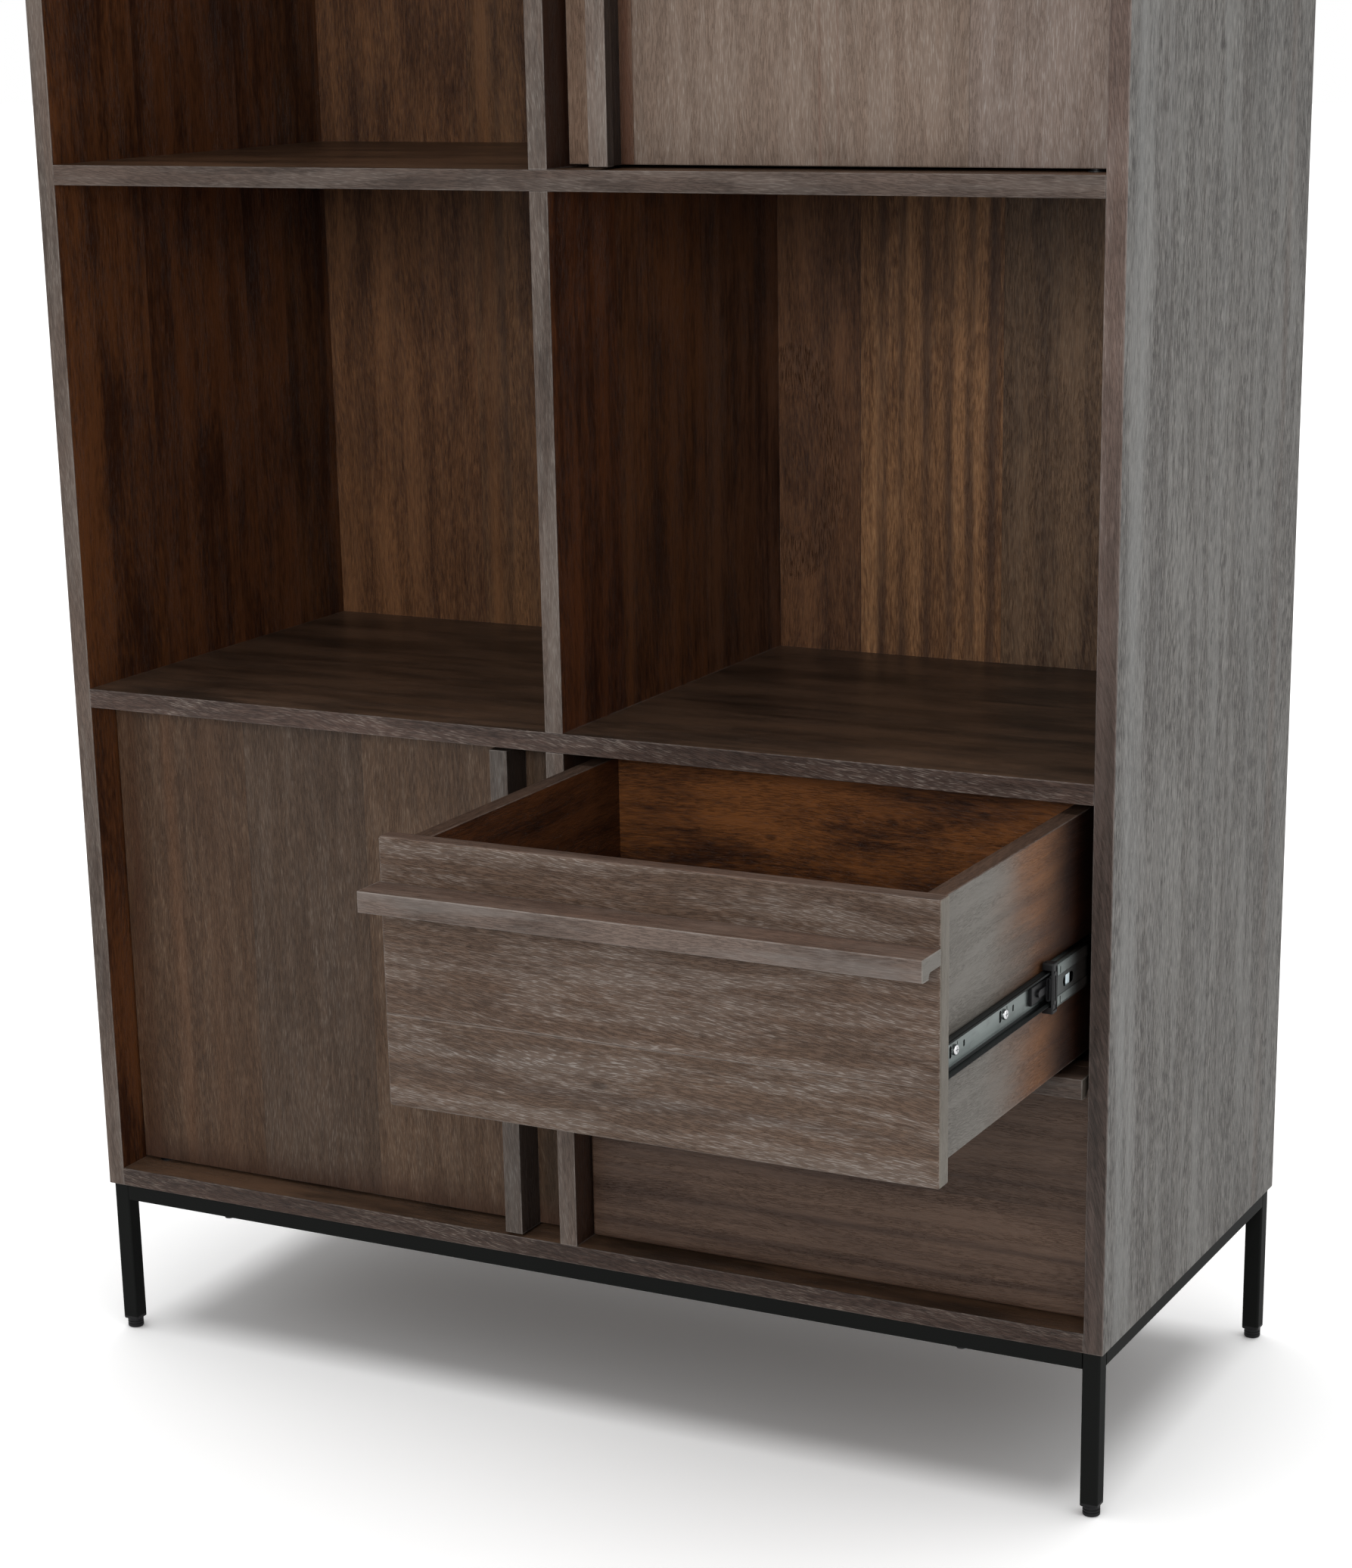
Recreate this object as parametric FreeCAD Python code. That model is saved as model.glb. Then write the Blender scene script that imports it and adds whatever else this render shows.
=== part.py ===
import FreeCAD, Part
import os

# Bookcase of solid boards on a steel base: three rows of two cells, with a pivoting door at the lower left,
# another at the upper right, and two drawers on ball-bearing slides at the lower right.
# Millimetres, +Z up, +X to the right, +Y to the back. The origin is on the floor, at the centre of the
# outline with the upper drawer standing open.

Vector = FreeCAD.Vector
ALONG_X = Vector(1, 0, 0)
ALONG_Y = Vector(0, 1, 0)
ALONG_Z = Vector(0, 0, 1)
TOUCH = 0.01                      # how near an edge lies to a plane to count as in it
CUT_PAST = 1.0                    # how far a cutting tool runs past the face that it cuts
LEAST_ROUND = 0.2                 # inner corner of a fold or tube whose wall uses up its outer corner

# --- Case ---
CASE_WIDTH = 1000.0
CASE_DEPTH = 448.0
CASE_HEIGHT = 1400.0              # without the base
BOARD = 17.0                      # thickness of the case boards
ROWS = 3
BACK_THICKNESS = 12.0
BACK_INSET = 12.0                 # rear face of the back panel, in from the case's rear
EDGE_EASE = 0.8                   # rounding of the case boards' open edges

# --- Base of square steel tube ---
BASE_HEIGHT = 148.0               # floor to the underside of the case
BASE_INSET = 3.0                  # outer face of the tubes, in from the case
TUBE = 16.0
TUBE_WALL = 1.5
TUBE_CORNER = 2.0
GLIDE_DIAMETER = 15.0
GLIDE_HEIGHT = 9.0
GLIDE_EDGE = 1.5
GLIDE_RIB_DEPTH = 0.6
GLIDE_RIB_WIDTH = 1.2
PLUG_SHOULDER = 3.0               # thickness of the plug's rim under the tube
PLUG_SPIGOT = 15.0                # length of the plug inside the tube
PLUG_EDGE = 1.2

# --- Fasteners and dowels ---
DOWEL_DIAMETER = 8.0
DOWEL_WEB = 1.0                   # wood left between dowels that face each other in one board
DOWEL_IN_END = 22.0               # depth in the end grain
DOWEL_MARGIN = 60.0               # first and last dowel, in from the shelf's front and rear
GLUE_GAP = 0.05                   # all round a dowel or a screw's shank
TIP_COVER = 5.0                   # wood left beyond a screw's tip
BASE_SCREW_SHANK = 4.0
BASE_SCREW_HEAD = 9.0
BASE_SCREW_HEAD_HEIGHT = 2.2
BASE_SCREW_FROM_LEG = 110.0
BACK_SCREW_SHANK = 3.5
BACK_SCREW_HEAD = 7.0
BACK_SCREW_HEAD_HEIGHT = 1.8
BACK_SCREW_IN_WOOD = 18.0
BACK_SCREW_FROM_SIDE = 110.0      # from each cell's walls

# --- Doors and drawer fronts ---
FRONT_GAP = 2.5                   # all round each door and drawer front
FRONT_BOARD = 17.0                # thickness of doors and drawer fronts
DOOR_RECESS = 33.0                # door's face behind the case's front
DOOR_ROUND = 1.2
DRAWER_RECESS = 26.0
DRAWER_FRONT_ROUND = 2.5

# --- Finger-pull bars ---
PULL_OUT = 33.0                   # how far a bar stands out
PULL_THICKNESS = 17.0
PULL_GROOVE = 5.0                 # depth of the finger groove behind the lip
PULL_LIP = 11.0                   # thickness of the lip
PULL_ROOT_ROUND = 4.0
PULL_ROUND = 1.0
PULL_FROM_TOP = 36.0              # upper drawer's bar, below the front's top
PULL_FROM_EDGE = 36.0             # door's bar, in from its free edge

# --- Door pivots and catches ---
PIVOT_FROM_EDGE = 20.0            # pivot axis, in from the door's hinge edge
PIN_DIAMETER = 6.0
PIN_IN_DOOR = 16.0
PIN_END_ROOM = 1.5                # pin's end to the end of its bush
PIN_CLEARANCE = 0.05              # radial, in the bush
COLLAR_DIAMETER = 10.0
COLLAR_GAP = 0.2                  # pin's collar to the bush's flange
BUSH_DIAMETER = 10.0
BUSH_DEPTH = 8.0
BUSH_FLANGE_DIAMETER = 14.0
BUSH_FLANGE_THICKNESS = 1.0
STRIKE_WIDTH = 40.0
STRIKE_HEIGHT = 14.0
STRIKE_THICKNESS = 1.5
STRIKE_CORNER = 2.0
CATCH_WIDTH = 46.0
CATCH_HEIGHT = 14.0
CATCH_DEPTH = 15.0
CATCH_ROUND = 1.5
CATCH_GAP = 0.3                   # magnet face to strike plate
CATCH_FROM_EDGE = 70.0            # middle of the catch, in from the door's free edge

# --- Drawer boxes ---
DRAWER_BOARD = 16.0               # sides and back
DRAWER_BASE_UP = 10.75            # underside of the sides above the front's lower edge
DRAWER_TOP_DOWN = 6.0             # top of the sides below the front's top
DRAWER_REAR_ROOM = 29.0           # sides' rear end to the back panel, with the drawer closed
DRAWER_BACK_INSET = 13.0          # back board in from the sides' rear ends
DRAWER_BOTTOM = 6.0
DRAWER_BOTTOM_UP = 12.0           # underside of the bottom panel above the sides' lower edge
GROOVE_DEPTH = 6.0
GROOVE_END_ROOM = 0.5
DRAWER_EASE = 1.0
SHORT_OF_FULL = 28.0              # upper drawer at rest, short of its full travel

# --- Ball-bearing slides, measured from the bay's wall towards the drawer ---
SLIDE_SPACE = 13.0                # wall to drawer side
SLIDE_SETBACK = 2.0               # members' front ends behind the drawer front's back face
SLIDE_UP = 81.5                   # slide's middle above the sides' lower edge
SHEET = 1.2
SHEET_BEND = 1.6                  # outer radius of the folds
CABINET_MEMBER_HEIGHT = 45.7
CABINET_MEMBER_SHORT = 4.0        # its flanges' tips, short of the drawer side
RUNNING_GAP = 0.5                 # between nested members, across the bay
OUTER_BALL_ROOM = 3.4             # for the balls between cabinet and middle member
INNER_BALL_ROOM = 3.05            # for the balls between middle and drawer member
MIDDLE_SHARE = 0.38               # travel of the middle member over the drawer's travel
CABINET_SCREW_PITCH = 128.0
CABINET_SCREW_SHANK = 3.5
CABINET_SCREW_HEAD = 7.5
DRAWER_SCREW_FIRST = 31.0         # from the drawer front's back face
DRAWER_SCREW_PITCH = 96.0         # first to second
DRAWER_SCREW_LAST = 33.0          # from the sides' rear ends
DRAWER_SCREW_SHANK = 3.5
DRAWER_SCREW_HEAD = 8.4
DRAWER_SCREW_HEAD_HEIGHT = 2.2
DRAWER_SCREW_HEAD_ROUND = 1.3
SCREW_TO_SLOT = 1.0               # screw's head to the slots beside it
BUMPER_LENGTH = 10.0
BUMPER_TO_CABINET = 1.15          # bumper to the cabinet member's flanges
BUMPER_TO_DRAWER = 0.8            # bumper to the drawer member's flanges
BUMPER_WEB = 1.4
LEVER_FROM_FRONT = 176.0          # release lever, from the drawer front's back face
LEVER_LENGTH = 44.0
LEVER_HEIGHT = 15.0
LEVER_THICKNESS = 3.0
LEVER_ROUND = 1.0
LEVER_TAB_LENGTH = 17.0
LEVER_TAB_HEIGHT = 6.0
LEVER_TAB_THICKNESS = 2.2
SLOT_WIDTH = 4.4
SLOT_LENGTH = 12.0
SLOT_FROM_END = 18.0              # middle of the middle member's slot from its front end
BAND_HEIGHT = 17.0                # shallow pressed band along the middle member
BAND_DEPTH = 0.5
NOTCH_FROM_END = 4.0              # notches above and below the band
NOTCH_WIDTH = 2.0
NOTCH_TO_FOLD = 3.6

# --- Places that follow from the sizes above ---
BACK_FACE = CASE_DEPTH - BACK_INSET - BACK_THICKNESS          # depth of shelves and dividers
BAY_DEPTH = BACK_FACE - DRAWER_RECESS - FRONT_BOARD
SIDE_LENGTH = BAY_DEPTH - DRAWER_REAR_ROOM
SLIDE_LENGTH = SIDE_LENGTH - SLIDE_SETBACK
UPPER_OPEN = SLIDE_LENGTH - SHORT_OF_FULL
OPEN_REACH = UPPER_OPEN + PULL_OUT - DRAWER_RECESS            # open drawer's bar ahead of the case's front

FRONT_Y = (OPEN_REACH - CASE_DEPTH) / 2
REAR_Y = FRONT_Y + CASE_DEPTH
CASE_Y = (FRONT_Y, REAR_Y)
SHELF_Y = (FRONT_Y, FRONT_Y + BACK_FACE)
BACK_Y = (SHELF_Y[1], SHELF_Y[1] + BACK_THICKNESS)

HALF_WIDTH = CASE_WIDTH / 2
INNER_X = (BOARD - HALF_WIDTH, HALF_WIDTH - BOARD)
DIVIDER_X = (-BOARD / 2, BOARD / 2)
LEFT_CELL = (INNER_X[0], DIVIDER_X[0])
RIGHT_CELL = (DIVIDER_X[1], INNER_X[1])

CASE_Z = (BASE_HEIGHT, BASE_HEIGHT + CASE_HEIGHT)
ROW_CLEAR = (CASE_HEIGHT - (ROWS + 1) * BOARD) / ROWS
FLOOR_OF_ROW = [CASE_Z[0] + BOARD + row * (ROW_CLEAR + BOARD) for row in range(ROWS)]
ROW_Z = [(low, low + ROW_CLEAR) for low in FLOOR_OF_ROW]

DOWEL_IN_FACE = (BOARD - DOWEL_WEB) / 2
PIN_IN_BUSH = BUSH_DEPTH - PIN_END_ROOM
COLLAR_THICKNESS = FRONT_GAP - BUSH_FLANGE_THICKNESS - COLLAR_GAP

MIDDLE_WEB = SHEET + RUNNING_GAP                              # middle member's web, facing the wall
CABINET_MEMBER_TIP = SLIDE_SPACE - CABINET_MEMBER_SHORT
MIDDLE_MEMBER_TIP = SLIDE_SPACE - SHEET - RUNNING_GAP
DRAWER_MEMBER_TIP = MIDDLE_WEB + SHEET + RUNNING_GAP
CABINET_MEMBER_BORE = CABINET_MEMBER_HEIGHT - 2 * SHEET
MIDDLE_MEMBER_HEIGHT = CABINET_MEMBER_BORE - 2 * OUTER_BALL_ROOM
DRAWER_MEMBER_HEIGHT = MIDDLE_MEMBER_HEIGHT - 2 * SHEET - 2 * INNER_BALL_ROOM
SLIDE_FRONT_Y = FRONT_Y + DRAWER_RECESS + FRONT_BOARD + SLIDE_SETBACK     # members' front ends when closed


def block(x, y, z):
    """Rectangular solid over three (low, high) spans."""
    return Part.makeBox(x[1] - x[0], y[1] - y[0], z[1] - z[0], Vector(x[0], y[0], z[0]))


def grown(span, low, high):
    """Span with its ends moved outwards by low and high."""
    return (span[0] - low, span[1] + high)


def edge_in_plane(edge, axis, value):
    """Whether an edge lies in the plane where the axis has the value."""
    box = edge.BoundBox
    low = getattr(box, axis + "Min")
    high = getattr(box, axis + "Max")
    return abs(low - value) < TOUCH and abs(high - value) < TOUCH


def rounded(solid, radius, planes, along="XYZ"):
    """Solid with its straight edges in the (axis, value) planes rounded, if they run along a named axis."""
    picked = []
    for edge in solid.Edges:
        box = edge.BoundBox
        lengths = {"X": box.XLength, "Y": box.YLength, "Z": box.ZLength}
        runs = [axis for axis in along if abs(lengths[axis] - edge.Length) < TOUCH]
        if runs and any(edge_in_plane(edge, axis, value) for axis, value in planes):
            picked.append(edge)
    return solid.makeFillet(radius, picked)


def cut_where_met(solid, tools):
    """Solid less those tools that come near it."""
    met = [tool for tool in tools if tool.BoundBox.intersect(solid.BoundBox)]
    if not met:
        return solid
    return solid.cut(met).Solids[0]


def rod(diameter, start, direction, length):
    """Round rod from a point along a direction."""
    return Part.makeCylinder(diameter / 2, length, start, direction)


# --- Dowels between the case boards ---

def dowel(joint, direction, room):
    """Dowel across a joint face, pointing into the end grain, with room all round it."""
    start = joint - direction * (DOWEL_IN_FACE + room)
    return rod(DOWEL_DIAMETER + 2 * room, start, direction, DOWEL_IN_FACE + DOWEL_IN_END + 2 * room)


def dowel_depths():
    """Where the dowels of one joint lie, from front to rear."""
    first = SHELF_Y[0] + DOWEL_MARGIN
    last = SHELF_Y[1] - DOWEL_MARGIN
    return [first, (first + last) / 2, last]


def case_dowels(room=0.0):
    dowels = []
    levels = [CASE_Z[0] + BOARD / 2] + [row[1] + BOARD / 2 for row in ROW_Z]
    for y in dowel_depths():
        for z in levels:
            dowels.append(dowel(Vector(INNER_X[0], y, z), ALONG_X, room))
            dowels.append(dowel(Vector(INNER_X[1], y, z), -ALONG_X, room))
        for low, high in ROW_Z:
            dowels.append(dowel(Vector(0, y, low), ALONG_Z, room))
            dowels.append(dowel(Vector(0, y, high), -ALONG_Z, room))
    return dowels


# --- Screws of the case ---

def headed_screw(seat, direction, shank, length, head, head_height, room=0.0):
    """Screw whose flat head sits on the seat, with its shank going the given way."""
    body = rod(shank + 2 * room, seat, direction, length + room)
    return body.fuse(rod(head, seat, -direction, head_height))


def back_screws(room=0.0):
    """Screws through the back panel into the shelves and dividers."""
    places = []
    for low, high in ROW_Z[:-1]:
        for cell in (LEFT_CELL, RIGHT_CELL):
            places.append((cell[0] + BACK_SCREW_FROM_SIDE, high + BOARD / 2))
            places.append((cell[1] - BACK_SCREW_FROM_SIDE, high + BOARD / 2))
    for low, high in ROW_Z:
        places.append((0, (low + high) / 2))
    length = BACK_THICKNESS + BACK_SCREW_IN_WOOD
    return [headed_screw(Vector(x, BACK_Y[1], z), -ALONG_Y, BACK_SCREW_SHANK, length,
                         BACK_SCREW_HEAD, BACK_SCREW_HEAD_HEIGHT, room) for x, z in places]


def base_screws(room=0.0):
    """Screws up through the rails into the case."""
    places = []
    x_line = HALF_WIDTH - BASE_INSET - TUBE / 2
    y_lines = (FRONT_Y + BASE_INSET + TUBE / 2, REAR_Y - BASE_INSET - TUBE / 2)
    from_corner = TUBE / 2 + BASE_SCREW_FROM_LEG
    for side in (-1, 1):
        for y in y_lines:
            places.append((side * (x_line - from_corner), y))
        places.append((side * x_line, y_lines[0] + from_corner))
        places.append((side * x_line, y_lines[1] - from_corner))
    seat_z = BASE_HEIGHT - TUBE
    length = TUBE + BOARD - TIP_COVER
    return [headed_screw(Vector(x, y, seat_z), ALONG_Z, BASE_SCREW_SHANK, length,
                         BASE_SCREW_HEAD, BASE_SCREW_HEAD_HEIGHT, room) for x, y in places]


# --- Slides ---

class Bay:
    """One side of a drawer's space: distances u run from its wall towards the drawer."""

    def __init__(self, wall_x, towards, middle_z):
        self.wall_x = wall_x
        self.towards = towards
        self.middle_z = middle_z

    def x_span(self, u_low, u_high):
        ends = (self.wall_x + self.towards * u_low, self.wall_x + self.towards * u_high)
        return (min(ends), max(ends))

    def point(self, u, y, dz=0.0):
        return Vector(self.wall_x + self.towards * u, y, self.middle_z + dz)

    def bar(self, u_low, u_high, y, height, dz=0.0):
        """Block between two distances from the wall, centred on the slide's height plus dz."""
        z = (self.middle_z + dz - height / 2, self.middle_z + dz + height / 2)
        return block(self.x_span(u_low, u_high), y, z)

    def outwards(self):
        """Direction from the wall towards the drawer."""
        return Vector(self.towards, 0, 0)


def channel(bay, web, tip, height, y):
    """Folded steel channel with its web's outer face at web and its flanges' tips at tip."""
    towards_tip = 1 if tip > web else -1
    floor = web + SHEET * towards_tip
    mouth = tip + CUT_PAST * towards_tip
    outer = bay.bar(min(web, tip), max(web, tip), y, height)
    outer = rounded(outer, SHEET_BEND, [("X", bay.point(web, 0).x)], "Y")
    inner = bay.bar(min(floor, mouth), max(floor, mouth), grown(y, CUT_PAST, CUT_PAST), height - 2 * SHEET)
    inner = rounded(inner, max(SHEET_BEND - SHEET, LEAST_ROUND), [("X", bay.point(floor, 0).x)], "Y")
    return outer.cut(inner).Solids[0]


def oblong(bay, u_low, u_high, y_middle, length, width, dz=0.0):
    """Round-ended slot tool, lying along the slide."""
    half = (length - width) / 2
    tool = bay.bar(u_low, u_high, (y_middle - half, y_middle + half), width, dz)
    for y in (y_middle - half, y_middle + half):
        start = bay.point(u_low, y, dz)
        tool = tool.fuse(rod(width, start, bay.outwards(), u_high - u_low))
    return tool


def cabinet_screws(bay, room=0.0):
    """Countersunk screws, flush with the cabinet member's web."""
    screws = []
    sink = (CABINET_SCREW_HEAD - CABINET_SCREW_SHANK) / 2
    length = SHEET + BOARD - TIP_COVER
    into_wall = -bay.outwards()
    first = SLIDE_FRONT_Y + DRAWER_SCREW_FIRST
    for y in (first, first + CABINET_SCREW_PITCH):
        top = bay.point(SHEET, y)
        head = Part.makeCone(CABINET_SCREW_HEAD / 2, CABINET_SCREW_SHANK / 2, sink, top, into_wall)
        screws.append(head.fuse(rod(CABINET_SCREW_SHANK + 2 * room, top, into_wall, length + room)))
    return screws


def cabinet_member(bay):
    y = (SLIDE_FRONT_Y, SLIDE_FRONT_Y + SLIDE_LENGTH)
    return cut_where_met(channel(bay, 0.0, CABINET_MEMBER_TIP, CABINET_MEMBER_HEIGHT, y), cabinet_screws(bay))


def web_cutter(bay, y, height, dz=0.0):
    """Block that cuts through the middle member's web."""
    return bay.bar(MIDDLE_WEB - CUT_PAST, MIDDLE_WEB + SHEET + CUT_PAST, y, height, dz)


def middle_member(bay, opened):
    """Middle member behind its bumper, with the drawer opened by so much."""
    front = SLIDE_FRONT_Y - MIDDLE_SHARE * opened
    start = front + BUMPER_LENGTH
    y = (start, front + SLIDE_LENGTH)
    band = bay.bar(MIDDLE_WEB - CUT_PAST, MIDDLE_WEB + BAND_DEPTH, grown(y, CUT_PAST, CUT_PAST), BAND_HEIGHT)
    slot = oblong(bay, MIDDLE_WEB - CUT_PAST, MIDDLE_WEB + SHEET + CUT_PAST, start + SLOT_FROM_END,
                  SLOT_LENGTH, SLOT_WIDTH)
    notch_y = (start + NOTCH_FROM_END, start + NOTCH_FROM_END + NOTCH_WIDTH)
    notch_height = (MIDDLE_MEMBER_HEIGHT - BAND_HEIGHT) / 2 - NOTCH_TO_FOLD
    notch_dz = (BAND_HEIGHT + notch_height) / 2
    notches = [web_cutter(bay, notch_y, notch_height, dz) for dz in (-notch_dz, notch_dz)]
    member = channel(bay, MIDDLE_WEB, MIDDLE_MEMBER_TIP, MIDDLE_MEMBER_HEIGHT, y)
    return member.cut([band, slot] + notches).Solids[0]


def bumper(bay, opened):
    """Plastic block on the middle member's front end, with a way through for the drawer member."""
    front = SLIDE_FRONT_Y - MIDDLE_SHARE * opened
    y = (front, front + BUMPER_LENGTH)
    height = CABINET_MEMBER_BORE - 2 * BUMPER_TO_CABINET
    body = bay.bar(MIDDLE_WEB - RUNNING_GAP / 2, MIDDLE_MEMBER_TIP, y, height)
    body = rounded(body, SHEET_BEND, [("Y", front)])
    way = bay.bar(MIDDLE_WEB + BUMPER_WEB, MIDDLE_MEMBER_TIP + CUT_PAST, grown(y, CUT_PAST, CUT_PAST),
                  DRAWER_MEMBER_HEIGHT + 2 * BUMPER_TO_DRAWER)
    return body.cut(way).Solids[0]


def drawer_screw_depths(front_back_y):
    """Where the screws of one drawer side lie, from front to rear."""
    first = front_back_y + DRAWER_SCREW_FIRST
    return [first, first + DRAWER_SCREW_PITCH, front_back_y + SIDE_LENGTH - DRAWER_SCREW_LAST]


def drawer_screws(bay, front_back_y, room=0.0):
    """Round-headed screws through the drawer member into the drawer's side."""
    screws = []
    for y in drawer_screw_depths(front_back_y):
        seat = bay.point(SLIDE_SPACE - SHEET, y)
        screw = headed_screw(seat, bay.outwards(), DRAWER_SCREW_SHANK, SHEET + DRAWER_BOARD - TIP_COVER,
                             DRAWER_SCREW_HEAD, DRAWER_SCREW_HEAD_HEIGHT, room)
        face_x = seat.x - bay.towards * DRAWER_SCREW_HEAD_HEIGHT
        rims = [edge for edge in screw.Edges if edge_in_plane(edge, "X", face_x)]
        screws.append(screw.makeFillet(DRAWER_SCREW_HEAD_ROUND, rims))
    return screws


def drawer_member(bay, front_back_y):
    """Channel on the drawer's side, with a wide and a narrow slot beside each of the first two screws."""
    front = front_back_y + SLIDE_SETBACK
    cutters = drawer_screws(bay, front_back_y, GLUE_GAP)
    web = (SLIDE_SPACE - SHEET - CUT_PAST, SLIDE_SPACE + CUT_PAST)
    for screw_y in drawer_screw_depths(front_back_y)[:2]:
        wide_end = screw_y - DRAWER_SCREW_HEAD / 2 - SCREW_TO_SLOT
        cutters.append(bay.bar(web[0], web[1], (wide_end - SLOT_WIDTH, wide_end), SLOT_LENGTH / 2))
        narrow_start = screw_y + DRAWER_SCREW_HEAD / 2 + SCREW_TO_SLOT
        narrow_y = (narrow_start, narrow_start + SHEET)
        cutters.append(bay.bar(web[0], web[1], narrow_y, SLOT_LENGTH / 2, SLOT_WIDTH / 2))
    member = channel(bay, SLIDE_SPACE, DRAWER_MEMBER_TIP, DRAWER_MEMBER_HEIGHT, (front, front + SLIDE_LENGTH))
    return member.cut(cutters).Solids[0]


def release_lever(bay, front_back_y):
    """Lever that frees the drawer from the slide, lying in the drawer member, with its raised tab."""
    y = (front_back_y + LEVER_FROM_FRONT, front_back_y + LEVER_FROM_FRONT + LEVER_LENGTH)
    seat = SLIDE_SPACE - SHEET
    plate = bay.bar(seat - LEVER_THICKNESS, seat, y, LEVER_HEIGHT)
    plate = rounded(plate, LEVER_ROUND, [("X", bay.point(seat - LEVER_THICKNESS, 0).x)])
    tab_y = y[0] + LEVER_TAB_LENGTH
    tab = oblong(bay, seat - LEVER_THICKNESS - LEVER_TAB_THICKNESS, seat - LEVER_THICKNESS / 2, tab_y,
                 LEVER_TAB_LENGTH, LEVER_TAB_HEIGHT)
    return plate.fuse(tab).removeSplitter().Solids[0]


# --- Finger-pull bars ---

def pull_bar(length):
    """Bar along +X from the origin, standing out along -Y, with its lip hanging to z = 0."""
    lip_back = PULL_OUT - PULL_LIP
    outline = [(0, PULL_GROOVE), (lip_back, PULL_GROOVE), (lip_back, 0), (PULL_OUT, 0),
               (PULL_OUT, PULL_THICKNESS), (0, PULL_THICKNESS)]
    corners = [Vector(0, -out, z) for out, z in outline]
    bar = Part.Face(Part.makePolygon(corners + corners[:1])).extrude(ALONG_X * length)
    root = [edge for edge in bar.Edges
            if edge_in_plane(edge, "Y", -lip_back) and edge_in_plane(edge, "Z", PULL_GROOVE)]
    bar = bar.makeFillet(min(PULL_ROOT_ROUND, PULL_GROOVE - LEAST_ROUND), root)
    return rounded(bar, PULL_ROUND, [("Y", -PULL_OUT)])


def placed(solid, point, turn_y=0):
    """Solid turned about +Y through its origin, then moved to the point."""
    moved = solid.copy()
    moved.Placement = FreeCAD.Placement(point, FreeCAD.Rotation(ALONG_Y, turn_y)).multiply(moved.Placement)
    return moved


# --- Doors ---

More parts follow.
